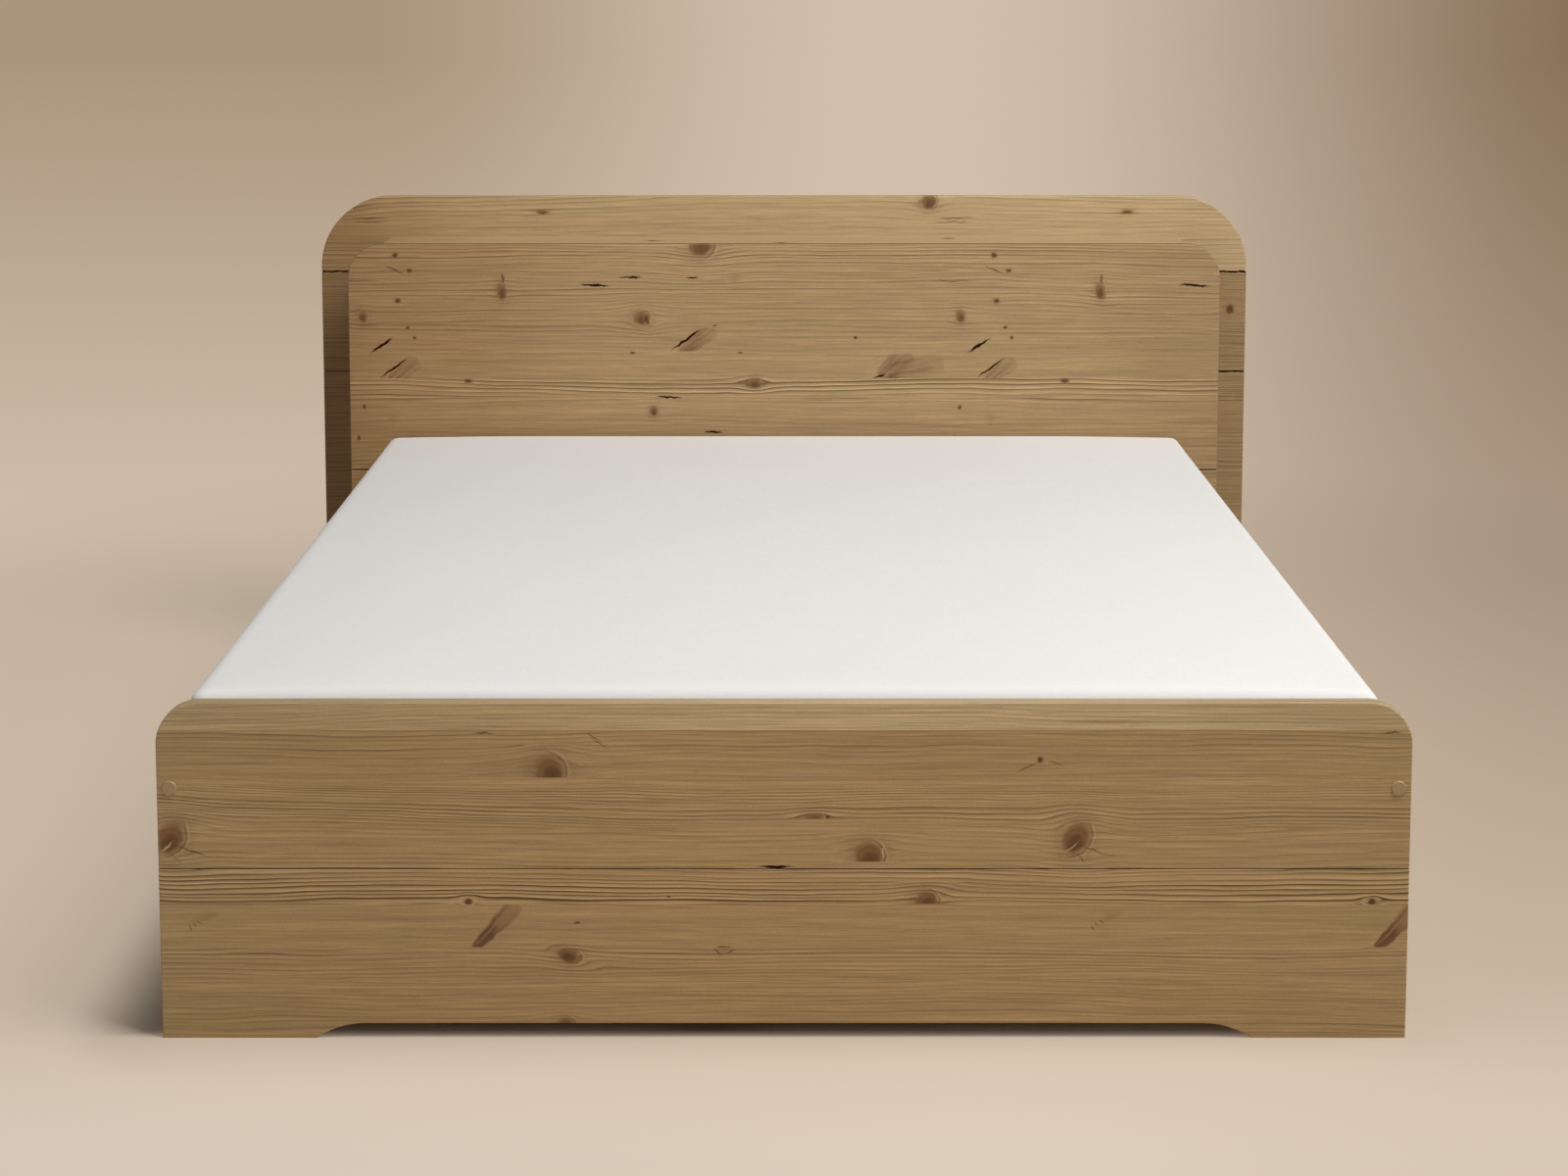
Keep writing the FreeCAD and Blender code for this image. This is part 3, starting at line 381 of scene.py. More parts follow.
# Pine that the photograph hides: its pieces, its axes along the grain, across it and through the
# board, the width of a stave, and a seed. The widest stave takes in a whole board
WHOLE = 0.2
HIDDEN_PINE = {
    "shelf_pine": ("shelf", "xyz", 0.08, 33.9),
    "divider_pine": ("divider", "zyx", 0.07, 41.2),
    "rail_pine": ("side_rail", "yzx", 0.067, 52.8),
    "ledge_pine": ("slat_ledge", "yzx", 0.09, 61.5),
    "slat_pine": ("slat_[0-9]", "xyz", 0.139, 71.1),
    "beam_pine": ("centre_beam", "yzx", WHOLE, 83.6),
    "leg_pine": ("centre_leg", "zxy", WHOLE, 91.4),
}
# How far the bookcase's top turns to the paler, silvery wood: partly its own tone, partly painted
# light
TOP_PALE_AND_LIGHT = 0.22
# How far below its origin a joint between its staves lies
STAVE_START = 13 * MM
# The closest and the widest of its growth lines' gaps
LINE_GAPS = 5 * MM, 9 * MM
# Half a knot's width and height, the scale of the pattern that places the knots, and how far
# their outlines stray in that pattern
HIDDEN_KNOT_WIDE, HIDDEN_KNOT_HIGH = 12.5 * MM, 10 * MM
KNOT_SCALE, KNOT_STRAY = 2.4, 0.02
# How far the grain strays sideways in long waves and in short ones, and a growth ring in its place
LONG_WAVE, SHORT_WAVE, RING_STRAY = 60 * MM, 11 * MM, 12 * MM
# How deep the finest relief of each material is, and the gap between the cover's threads
PINE_RELIEF, BEECH_RELIEF = 0.5 * MM, 0.1 * MM
STEEL_RELIEF, PLASTIC_RELIEF = 0.05 * MM, 0.04 * MM
RIBBON_RELIEF, COVER_RELIEF = 0.2 * MM, 0.15 * MM
THREAD_GAP = 0.9 * MM

# How a board's wood grew, as sockets: its tone, its growth lines' gap in metres, how they lean
# through the thickness, and a seed
Growth = namedtuple("Growth", "tone gap lean seed")
# What a board's marks come to, as sockets: the distance to the nearest one of each kind in its
# own half sizes, the spikes, how far the grain is pushed, and the place in the nearest knot
Found = namedtuple("Found", "nearest spikes push knot_place", defaults=[None])


def along_panel(tree, along, stops, depth):
    """A colour that follows stops of pixel column and value, from one end of a panel to the other."""
    places = [seen_at(stop[0], FRAME_HEIGHT / 2, depth)[0] for stop in stops]
    low, high = places[0], places[-1]
    shares = [(place - low) / (high - low) for place in places]
    shades = [stop[1:] if len(stop) > 2 else stop[1:] * 3 for stop in stops]
    return tree.ramp(tree.spread(along, low, high), list(zip(shares, shades)), "EASE")


def board_axes(tree, order):
    """Sockets of a board's own axes: along the grain, across it, and through its thickness."""
    parts = tree.split(tree.place(), "XYZ")
    return [parts["xyz".index(axis)] for axis in order]


def grain(tree, axes, scales, detail, rough, *seed, out=0):
    """Noise with a scale along each axis. A seed takes the place of an axis that is left out."""
    parts = [tree.times(axis, scale) for axis, scale in zip(axes, scales)]
    return tree.noise(tree.combine(*parts, *seed), 1, detail, rough, out)


def wander(tree, axes, seed):
    """How far the grain strays sideways: long waves with shorter ones on them."""
    long_wave = grain(tree, axes, (0.9, 4.5), 2, 0.45, seed)
    short_wave = grain(tree, axes, (5, 24), 2, 0.5, seed)
    return tree.scale(long_wave, LONG_WAVE, tree.times(short_wave, SHORT_WAVE))


def knot_push(tree, flat, height, weaker=1):
    """How far the grain beside a knot is shoved up or down, fading out round it."""
    wide = tree.vector("MULTIPLY", flat, (0.55, 1, 0))
    square = tree.vector("DOT_PRODUCT", wide, wide, out="Value")
    near = tree.math("MAXIMUM", tree.scale(square, -1 / 16, 1), 0)
    fade = tree.math("DIVIDE", 1.9 * height * weaker, tree.plus(square, 1.6))
    return tree.times(tree.split(flat, "XYZ")[1], fade, near, near)


def add_marks(tree, panel, depth, along, across):
    """Places each mark of a panel, and adds up what they come to."""
    start = seen_at(panel.start_column, FRAME_HEIGHT / 2, depth)[0]
    wrapped = tree.math("FLOORED_MODULO", tree.minus(along, start), MARK_PERIOD)
    stray = tree.noise(tree.combine(along, across), 75, 2, 0.6, out="Color")
    board = tree.shaken(tree.combine(tree.plus(wrapped, start), across), stray, MARK_STRAY)
    nearest = {}
    spikes = []
    push = knot_place = None
    for mark in [Mark(kind, *row) for kind, rows in panel.marks.items() for row in rows]:
        x, z, metres = seen_at(mark.x, mark.y, depth)
        sockets = {
            "Vector": board,
            "Location": (start + (x - start) % MARK_PERIOD, z, 0),
            "Rotation": (0, 0, math.radians(mark.tilt)),
            "Scale": (mark.wide * metres, mark.high * metres, 1),
        }
        local = tree.node("ShaderNodeMapping", sockets, vector_type="TEXTURE")
        flat = tree.vector("MULTIPLY", local, (1, 1, 0))
        inside = None
        if mark.cut:
            top, bottom = (seen_at(mark.x, row, depth)[1] for row in mark.cut)
            inside = tree.math("COMPARE", across, (top + bottom) / 2, (top - bottom) / 2)
        if mark.kind == "spike":
            spikes.append(spike_cover(tree, flat, inside, mark))
            continue
        far = tree.length(flat)
        if inside:
            far = tree.scale(tree.minus(1, inside), 20, far)
        before = nearest.get(mark.kind)
        if mark.kind == "knot" and knot_place:
            knot_place = tree.mix(tree.math("LESS_THAN", far, before), knot_place, flat)
        elif mark.kind == "knot":
            knot_place = flat
        nearest[mark.kind] = far if before is None else tree.math("MINIMUM", before, far)
        if mark.kind in ("knot", "dot") and mark.high > 3:
            weaker = min(1, mark.wide / mark.high) ** 2 if mark.kind == "knot" else 1.8
            shove = knot_push(tree, flat, mark.high * metres, weaker)
            if inside:
                shove = tree.times(shove, inside)
            push = shove if push is None else tree.plus(push, shove)
    return Found(nearest, spikes, push, knot_place)


def spike_cover(tree, flat, inside, mark):
    """A branch cut lengthwise: how far it covers, and the streaks that run along it."""
    side, length = tree.split(flat, "XYZ")[:2]
    side = tree.math("DIVIDE", side, tree.scale(length, mark.taper, 1))
    ends = tree.math("POWER", tree.math("ABSOLUTE", length), 8)
    far = tree.math("SQRT", tree.scale(side, side, ends))
    cover = tree.ease(far, 1.15, 0.70, 0, mark.strength)
    cover = tree.times(cover, tree.ease(length, 1, -0.4, 0.5, 1))
    if inside:
        cover = tree.times(cover, inside)
    return cover, grain(tree, (side, length), (2.6, 0.45), 2, 0.6, mark.x)


# Through one growth ring: how dark its late wood is, and how pale the wood beside it, partly a
# painted highlight where the raised ring would catch the light
DARK_RING = [
    (0, 0), (0.42, 0.03), (0.62, 0.24), (0.76, 0.75), (0.86, 1), (0.93, 0.85), (0.98, 0), (1, 0),
]
PALE_HIGHLIGHT_RING = [(0, 1), (0.12, 0.9), (0.32, 0.30), (0.50, 0), (0.94, 0), (0.98, 0.8), (1, 1)]


def growth_lines(tree, place, gap, seed):
    """The dark line of each growth ring and the pale line beside it, partly a painted highlight,
    uneven in their gaps and strengths.
    """
    uneven = grain(tree, [place], [55], 1, 0.5, seed)
    rings = tree.math("DIVIDE", tree.scale(uneven, RING_STRAY, place), gap)
    index = tree.math("FLOOR", rings)
    phase = tree.minus(rings, index)
    own = tree.node("ShaderNodeTexWhiteNoise", {"Vector": tree.combine(index, seed)})
    strength = tree.spread(own, 0, 1, 0.35, 1.15)
    drawn = []
    for ring in (DARK_RING, PALE_HIGHLIGHT_RING):
        color = tree.ramp(phase, [(where, (tone,) * 3) for where, tone in ring])
        drawn.append(tree.times(tree.split(color)[0], strength))
    return drawn


def finish_pine(tree, axes, inward, growth, found, strength, paler=None, drift=None):
    """Growth lines, colour, roughness and relief of a board, with its marks on it."""
    place = tree.minus(tree.plus(axes[1], wander(tree, axes, growth.seed)), found.push)
    place = tree.scale(inward, growth.lean, place)
    lines = growth_lines(tree, place, growth.gap, growth.seed)
    patch = grain(tree, axes, (1.6, 30), 2, 0.5, growth.seed)
    strength = tree.times(strength, tree.ease(patch, 0.32, 0.58, 0.40, 1))
    strength = tree.plus(strength, tree.ease(found.nearest["knot"], 4.0, 1.4, 0, 0.20))
    dark, pale = (tree.times(line, strength) for line in lines)

    # fine fibres along the grain, longer soft streaks, short dark pores, and a finer speckle
    fibre = grain(tree, axes, (11, 480, 480), 3, 0.65)
    streak = grain(tree, axes, (2.2, 95, 95), 3, 0.6)
    pores = grain(tree, axes, (30, 520, 520), 1, 0.5)
    speckle = grain(tree, axes, (260, 620, 620), 2, 0.6)

    # broad patches, redder or more olive
    broad = grain(tree, axes, (3.1, 13), 3, 0.55, growth.seed)
    wood = tree.mix(tree.ease(broad, 0.25, 0.50), OLIVE_WOOD, EARLY_WOOD)
    wood = tree.mix(tree.ease(broad, 0.50, 0.75), wood, WARM_WOOD)
    # a paler, silvery wood: partly its own tone, partly painted light
    if paler:
        wood = tree.mix(paler, wood, SILVER_WOOD)
    color = tree.mix(tree.times(dark, 0.95), wood, LATE_WOOD)
    # the pale line beside each dark one: partly paler wood, partly a painted highlight
    color = tree.mix(tree.times(pale, 0.50), color, PALE_WOOD_AND_HIGHLIGHT)

    shade = tree.times(
        growth.tone,
        tree.spread(fibre, 0.28, 0.72, 0.80, 1.17),
        tree.spread(streak, 0.28, 0.72, 0.88, 1.11),
        tree.spread(dark, 0, 1.4, 1, 0.72),
        tree.spread(speckle, 0.28, 0.72, 0.94, 1.06),
    )
    shade = tree.scale(tree.ease(pores, 0.66, 0.78), -0.13, shade)
    color = tree.mix(1, color, tree.combine(shade, shade, shade), "MULTIPLY")
    # the colour drift along the board, partly painted shade toward its ends
    if drift:
        color = tree.mix(1, color, drift, "MULTIPLY")
    relief = tree.scale(fibre, 0.35, tree.times(dark, 0.30))
    return draw_marks(tree, color, relief, fibre, streak, found)


def draw_knots(tree, color, streak, far, place):
    """Soft brown knots with rings round an off-centre heart, and a lip of pale wood beside them."""
    color = tree.cover(color, far, 2.3, 1.0, 0.22, LATE_WOOD)
    heart = far
    if place:
        heart = tree.length(tree.vector("ADD", place, (-0.12, 0.32, 0)))
    wobble = tree.scale(streak, 2.5, tree.times(heart, 14))
    rings = tree.ease(tree.math("SINE", wobble), -1, 1)
    body = tree.mix(tree.ease(heart, 0.1, 1.15), KNOT_HEART, KNOT_BODY)
    body = tree.mix(tree.times(rings, 0.28), body, KNOT_RIM)
    color = tree.cover(color, far, 1.20, 0.72, 0.90, body)
    if place:
        beside = tree.ease(tree.split(place, "XYZ")[0], 0.1, 0.8)
        pale = tree.times(tree.ease(far, 1.24, 1.34), tree.ease(far, 1.50, 1.38), beside, 0.22)
        dark = tree.times(tree.ease(far, 1.08, 1.16), tree.ease(far, 1.30, 1.20), beside, 0.45)
        color = tree.mix(dark, tree.mix(pale, color, PALE_WOOD_AND_HIGHLIGHT), KNOT_RIM)
    return color


def draw_marks(tree, color, relief, fibre, streak, found):
    """Lays the marks over a board's wood, and ends its material."""
    far = found.nearest
    if "pale" in far:
        color = tree.cover(color, far["pale"], 1.3, 0.2, 0.32, KNOT_BODY)
    for cover, streaks in found.spikes:
        color = tree.mix(cover, color, tree.mix(tree.ease(streaks, 0.40, 0.60), SPIKE, SPIKE_DARK))
    color = draw_knots(tree, color, streak, far["knot"], found.knot_place)
    if "dot" in far:
        core = tree.mix(tree.ease(far["dot"], 1.0, 0.3), DOT_RIM, DOT_HEART)
        color = tree.cover(color, far["dot"], 1.9, 0.9, 0.35, KNOT_BODY)
        color = tree.cover(color, far["dot"], 1.15, 0.65, 0.92, core)
    if "line" in far:
        color = tree.cover(color, far["line"], 1.2, 0.3, 0.75, KNOT_RIM)
    if "light" in far:
        color = tree.cover(color, far["light"], 1.2, 0.4, 0.75, PALE_WOOD_AND_HIGHLIGHT)
    gloss = 0.25
    if "crack" in far:
        open_part = tree.ease(far["crack"], 1.15, 0.55)
        color = tree.mix(open_part, color, CRACK)
        relief = tree.scale(open_part, -2.5, relief)
        gloss = tree.scale(open_part, -0.25, 0.25)
    normal = tree.bump(relief, PINE_RELIEF, 0.55)
    rough = tree.spread(fibre, 0.2, 0.8, 0.50, 0.64)
    return tree.surface(Base_Color=color, Roughness=rough, Normal=normal, Specular_IOR_Level=gloss)


def marked_pine(panel):
    """An edge-glued panel whose staves, lines and knots follow its rows and marks."""
    tree = Tree(panel.name)
    along, across, through = axes = board_axes(tree, "xzy")
    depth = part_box(panel.face)[0].y

    def height_of(row):
        return seen_at(FRAME_WIDTH / 2, row, depth)[1]

    low, high = height_of(panel.staves[-1][0]), height_of(panel.top_row)

    def share(row):
        return (height_of(row) - low) / (high - low)

    # a colour ramp carries each stave's facts, brought between 0 and 1
    stops = [
        (share(row), (tone / 2, gap / GAP_LIMIT, 0.5 + lean / 2))
        for row, tone, gap, lean in reversed(panel.staves)
    ]
    facts = tree.split(tree.ramp(tree.spread(across, low, high), stops, "CONSTANT"))
    facing = tree.split(tree.node("ShaderNodeTexCoord", out="Normal"), "XYZ")[1]
    edge = tree.ease(tree.math("ABSOLUTE", facing), 0.3, 0.8, panel.edge, 1)
    growth = Growth(
        tone=tree.times(facts[0], 2, edge),
        gap=tree.times(facts[1], GAP_LIMIT * MM),
        lean=tree.scale(facts[2], 2, -1),
        seed=tree.scale(facts[1], 40, panel.seed),
    )
    paler = None
    # the top stave turns paler: partly its own tone, partly painted light
    if panel.bleach:
        inside = tree.math("GREATER_THAN", across, height_of(panel.staves[0][0]))
        bleach = along_panel(tree, along, panel.bleach, depth)
        paler = tree.times(inside, tree.split(bleach)[0])
    # the colour drift along the panel, with painted shade toward its ends
    drift = along_panel(tree, along, panel.drift, depth)

    found = add_marks(tree, panel, depth, along, across)
    level = tree.spread(tree.minus(across, found.push), low, high)
    fades = sorted((share(row), (strength,) * 3) for row, strength in panel.lines)
    strength = tree.split(tree.ramp(level, fades))[0]
    inward = tree.minus(through, depth)
    return finish_pine(tree, axes, inward, growth, found, strength, paler, drift)


def plain_pine(name, order, stave_width, seed, paler=None, drift=None):
    """Pine for boards that the photograph hides: random staves, lines and knots."""
    tree = Tree(name)
    along, across, through = axes = board_axes(tree, order)
    index = tree.math("FLOOR", tree.math("DIVIDE", tree.plus(across, STAVE_START), stave_width))
    random = tree.node("ShaderNodeTexWhiteNoise", {"Vector": tree.combine(index, seed)}, "Color")
    chance = tree.split(random)
    growth = Growth(
        tone=tree.spread(chance[0], 0, 1, 0.94, 1.06),
        gap=tree.spread(chance[1], 0, 1, *LINE_GAPS),
        lean=tree.spread(chance[2], 0, 1, -0.8, 0.8),
        seed=tree.scale(chance[1], 40, seed),
    )

    shifted = tree.scale(chance[2], 3.3, tree.times(along, KNOT_SCALE))
    cell = tree.combine(shifted, tree.times(across, KNOT_SCALE), seed)
    sockets = {"Vector": cell, "Scale": 1.9, "Randomness": 0.85}
    nearby = tree.node("ShaderNodeTexVoronoi", sockets, "Position", voronoi_dimensions="2D")
    stray = grain(tree, axes, (60, 60, 60), 2, 0.6, out="Color")
    spot = tree.shaken(tree.vector("SUBTRACT", cell, nearby), stray, KNOT_STRAY)
    wide, high = HIDDEN_KNOT_WIDE * KNOT_SCALE, HIDDEN_KNOT_HIGH * KNOT_SCALE
    flat = tree.vector("MULTIPLY", spot, (1 / wide, 1 / high, 0))
    far = tree.length(flat)
    found = Found({"knot": far}, (), knot_push(tree, flat, HIDDEN_KNOT_HIGH))
    # the top's colour drift, with painted shade toward its ends
    if drift:
        drift = along_panel(tree, along, drift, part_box("rear_panel_top")[0].y)
    return finish_pine(tree, axes, through, growth, found, 0.55, paler, drift)


def steel(name, tint, rough):
    """Zinc-plated or painted sheet with a faint mottle."""
    tree = Tree(name)
    mottle = tree.noise(tree.place(), 420, 3, 0.6)
    shade = tree.mix(tree.ease(mottle, 0.3, 0.7), tint, tuple(0.8 * part for part in tint))
    rough = tree.spread(mottle, 0.3, 0.7, rough - 0.06, rough + 0.1)
    normal = tree.bump(mottle, STEEL_RELIEF, 0.5)
    return tree.surface(Base_Color=shade, Roughness=rough, Normal=normal, Metallic=1.0)


def plastic(name, tint, rough):
    """Moulded plastic with a fine texture."""
    tree = Tree(name)
    mottle = tree.noise(tree.place(), 900)
    shade = tree.cover(tint, mottle, 0.3, 0.7, 0.15, tuple(0.7 * part for part in tint))
    normal = tree.bump(mottle, PLASTIC_RELIEF, 0.4)
    return tree.surface(Base_Color=shade, Roughness=rough, Normal=normal)


def beech():
    """Dowels: pale pink-brown wood with short dark flecks."""
    tree = Tree("beech")
    fleck = grain(tree, board_axes(tree, "yzx"), (220, 1600, 1600), 2, 0.5)
    shade = tree.mix(tree.ease(fleck, 0.5, 0.75), linear(206, 168, 128), linear(160, 116, 78))
    normal = tree.bump(fleck, BEECH_RELIEF, 0.5)
    return tree.surface(Base_Color=shade, Roughness=0.6, Normal=normal)


def webbing():
    """The ribbons' woven polyester."""
    tree = Tree("webbing")
    across, along = tree.split(tree.place(), "XYZ")[:2]
    across = tree.math("SINE", tree.times(across, 3200))
    along = tree.math("SINE", tree.times(along, 2600))
    weave = tree.times(across, along)
    shade = tree.mix(tree.ease(weave, -1, 1), linear(206, 200, 188), linear(232, 228, 218))
    normal = tree.bump(weave, RIBBON_RELIEF, 0.5)
    return tree.surface(Base_Color=shade, Roughness=0.8, Normal=normal)


def cover_cloth():
    """The mattress cover: a close off-white weave, smooth from a step away, with a soft sheen."""
    tree = Tree("mattress_cloth")
    place = tree.place()
    parts = tree.split(place, "XYZ")
    yarn = tree.plus(*(
        grain(tree, parts, scales, 2, 0.5)
        for scales in ((40, 1100, 1100), (1100, 40, 1100), (1100, 1100, 40))
    ))
    broad = tree.noise(place, 2.5)
    shade = tree.mix(tree.ease(yarn, 1.15, 1.85), linear(234, 233, 230), linear(242, 241, 239))
    shade = tree.cover(shade, broad, 0.3, 0.7, 0.30, linear(235, 233, 229))
    weave = tree.plus(*(
        tree.math("SINE", tree.times(part, math.tau / THREAD_GAP)) for part in parts
    ))
    relief = tree.scale(yarn, 0.8, tree.times(weave, 0.10))
    normal = tree.bump(relief, COVER_RELIEF, 0.4)
    return tree.surface(
        Base_Color=shade, Roughness=0.85, Normal=normal, Sheen_Weight=0.15, Sheen_Roughness=0.4,
        Specular_IOR_Level=0.25,
    )


def named(start):
    """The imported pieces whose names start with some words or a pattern."""
    return fnmatch.filter(sorted(nodes), f"{start}*")


def set_material(start, material):
    """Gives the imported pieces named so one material."""
    for name in named(start):
        data = nodes[name].data
        data.materials.clear()
        data.materials.append(material)


def dress_wood():
    """Each board's pine, with its grain along its length."""
    for start, panel in PANELS.items():
        set_material(start, marked_pine(panel))
    top = plain_pine("top_pine", "xyz", WHOLE, 21.3, TOP_PALE_AND_LIGHT, TOP_DRIFT_AND_SHADE)
    set_material("bookcase", top)
    for name, (start, order, stave_width, seed) in HIDDEN_PINE.items():
        set_material(start, plain_pine(name, order, stave_width, seed))


def dress_fittings():
    """Metal, plastic and textile parts. Returns the small fasteners' steel."""
    zinc = steel("zinc_steel", linear(196, 198, 200), 0.32)
    fittings = {
        "rail_dowels": beech(), "bed_bolts": zinc, "barrel_nuts": zinc,
        "beam_bracket": steel("bracket_steel", linear(170, 172, 174), 0.4),
        "bolt_caps": plastic("cap_plastic", linear(176, 149, 108), 0.5),
        "leg_glides": plastic("glide_plastic", linear(70, 66, 62), 0.45),
        "slat_ribbon": webbing(),
    }
    for start, material in fittings.items():
        set_material(start, material)
    return zinc


def new_piece(name, mesh, material, body, smooth=False):
    """A modelled piece with its material, riding on a body."""
    piece = bpy.data.objects.new(name, mesh)
    scene.collection.objects.link(piece)
    mesh.materials.clear()
    mesh.materials.append(material)
    for polygon in mesh.polygons:
        polygon.use_smooth = smooth
    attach(piece, body)
    return piece


# Small wood screws: a shallow raised countersunk head and a pan head, and the shares of the first
# that the slats' screws have
SCREW_RADIUS, SCREW_PROUD = 4 * MM, 0.25 * MM
PAN_RADIUS, PAN_PROUD = 4.5 * MM, 2.4 * MM
SLAT_RADIUS_SHARE, SLAT_PROUD_SHARE = 0.85, 0.6
# From a head's middle outward, shares of its radius and of its height
HEAD_PROFILE = [(0.80, 0.80), (0.94, 0.45), (1.0, 0), (0.96, -0.2)]
HEAD_SIDES = 24
# The cross recess: shares of the head's radius, how much its floor is narrower, and its depth
RECESS_REACH, RECESS_WIDTH, RECESS_TAPER = 0.52, 0.16, 0.8
RECESS_DEPTH = 0.9 * MM
# Rows of screws through the rear panel: the pieces they hold, the row's axis, how many, and how
# far in from the ends. The same margin of the ledges, the slats and the brackets
REAR_SCREWS = [
    ("divider", 2, 4, 60 * MM), ("shelf", 0, 3, 50 * MM), ("bookcase_top", 0, 6, 100 * MM),
]
LEDGE_MARGIN, SLAT_MARGIN, BRACKET_MARGIN = 50 * MM, 14 * MM, 11 * MM
BRACKET_SHEET = 2.5 * MM
# A staple's crown, the rounding of its wire, how proud it is, and its way from a slat's middle
STAPLE_SIZE = (11 * MM, 1.2 * MM, 0.6 * MM)
STAPLE_ROUND, STAPLE_PROUD = 0.22 * MM, 0.2 * MM
STAPLE_STEP = Vector((0, 12 * MM, 0))


def band(mesh, one, other):
    """Faces between two rings of points."""
    for index in range(len(one)):
        mesh.faces.new((one[index - 1], one[index], other[index], other[index - 1]))


def screw_head(radius=SCREW_RADIUS, proud=SCREW_PROUD):
    """A domed head that looks along +Z, with a cross cut into it."""
    mesh = bmesh.new()
    arm, half = radius * RECESS_REACH, radius * RECESS_WIDTH
    cross = [(arm, -half), (arm, half), (half, half)]
    for _ in range(3):
        cross += [(-y, x) for x, y in cross[-3:]]
    crown = [mesh.verts.new((x, y, proud)) for x, y in cross]
    deep = proud - RECESS_DEPTH
    floor = [mesh.verts.new((RECESS_TAPER * x, RECESS_TAPER * y, deep)) for x, y in cross]
    rings = []
    for share, rise in HEAD_PROFILE:
        ring = []
        for step in range(HEAD_SIDES):
            angle = math.tau * step / HEAD_SIDES
            x, y = radius * share * math.cos(angle), radius * share * math.sin(angle)
            ring.append(mesh.verts.new((x, y, proud * rise)))
        rings.append(ring)
    for pair in [*zip(rings, rings[1:]), (crown, floor)]:
        band(mesh, *pair)
    mesh.faces.new(floor)
    edges = [mesh.edges.get((crown[i - 1], crown[i])) for i in range(len(cross))]
    edges += [mesh.edges.get((rings[0][i - 1], rings[0][i])) for i in range(HEAD_SIDES)]
    bmesh.ops.triangle_fill(mesh, use_beauty=True, use_dissolve=False, edges=edges)
    bmesh.ops.recalc_face_normals(mesh, faces=mesh.faces)
    return mesh


def staple():
    """The crown of a wire staple that looks along +Z and lies along X."""
    mesh = bmesh.new()
    bmesh.ops.create_cube(mesh, size=1)
    bmesh.ops.scale(mesh, vec=STAPLE_SIZE, verts=mesh.verts)
    bmesh.ops.bevel(
        mesh, geom=mesh.edges[:], offset=STAPLE_ROUND, segments=2, profile=0.5, affect="EDGES"
    )
    return mesh


def scatter(name, pattern, places, facing, zinc):
    """One piece of many copies of a fastener, each turned from +Z to face a direction."""
    turn = Vector((0, 0, 1)).rotation_difference(Vector(facing)).to_matrix().to_4x4()
    single = bpy.data.meshes.new(f"{name}_single")
    pattern.to_mesh(single)
    pattern.free()
    together = bmesh.new()
    for place in places:
        before = len(together.verts)
        together.from_mesh(single)
        together.verts.ensure_lookup_table()
        added = together.verts[before:]
        bmesh.ops.transform(together, matrix=Matrix.Translation(place) @ turn, verts=added)
    mesh = bpy.data.meshes.new(name)
    together.to_mesh(mesh)
    together.free()
    bpy.data.meshes.remove(single)
    new_piece(name, mesh, zinc, "bed")


def row_on(name, axis, count, margin, **fixed):
    """Places along a piece's middle, a margin in from its ends, with other parts of them fixed."""
    low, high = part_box(name)
    step = (high[axis] - low[axis] - 2 * margin) / (count - 1)
    places = [(low + high) / 2 for _ in range(count)]
    for index, place in enumerate(places):
        place[axis] = low[axis] + margin + step * index
        for part, value in fixed.items():
            setattr(place, part, value)
    return places


def add_fasteners(zinc):
    """Screws and staples where the frame's pieces are fixed."""
    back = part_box("rear_panel_top")[1].y
    spots = []
    for start, axis, count, margin in REAR_SCREWS:
        for name in named(start):
            spots += row_on(name, axis, count, margin, y=back)
    scatter("rear_panel_screws", screw_head(), spots, (0, 1, 0), zinc)

    for name, side, corner in (("left", 1, 1), ("right", -1, 0)):
        ledge = f"slat_ledge_{name}"
        spots = row_on(ledge, 1, 7, LEDGE_MARGIN, x=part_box(ledge)[corner].x)
        scatter(f"ledge_screws_{name}", screw_head(), spots, (side, 0, 0), zinc)

    spots = []
    staples = []
    for name in named("slat_[0-9]"):
        spots += row_on(name, 0, 2, SLAT_MARGIN, z=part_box(name)[1].z)
        for ribbon in named("slat_ribbon"):
            low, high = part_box(ribbon)
            place = Vector(((low.x + high.x) / 2, spots[-1].y, low.z - STAPLE_PROUD))
            staples += [place + side * STAPLE_STEP for side in (-1, 1)]
    head = screw_head(SCREW_RADIUS * SLAT_RADIUS_SHARE, SCREW_PROUD * SLAT_PROUD_SHARE)
    scatter("slat_screws", head, spots, (0, 0, 1), zinc)

    for name, side, corner in (("foot", 1, 0), ("head", -1, 1)):
        bracket = f"beam_bracket_{name}"
        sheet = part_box(bracket)[corner].y + side * BRACKET_SHEET
        spots = row_on(bracket, 0, 2, BRACKET_MARGIN, y=sheet)
        head = screw_head(PAN_RADIUS, PAN_PROUD)
        scatter(f"bracket_screws_{name}", head, spots, (0, side, 0), zinc)
    scatter("ribbon_staples", staple(), staples, (0, 0, -1), zinc)


# The mattress: its rounded edges, how high it crowns and how far in from its sides and its ends
# that is reached, how far its sides draw in, and how far its cover swells
EDGE_RADIUS = 0.021
CROWN, CROWN_REACH = 0.006, (0.30, 0.05)
SIDE_DRAW = 0.004
SWELL = 0.003
# Its cover's mesh: the fine steps at the edges, how far in they go, and the steps between them
FINE_STEP, FINE_MARGIN, COARSE_STEP = 0.007, 0.056, 0.026
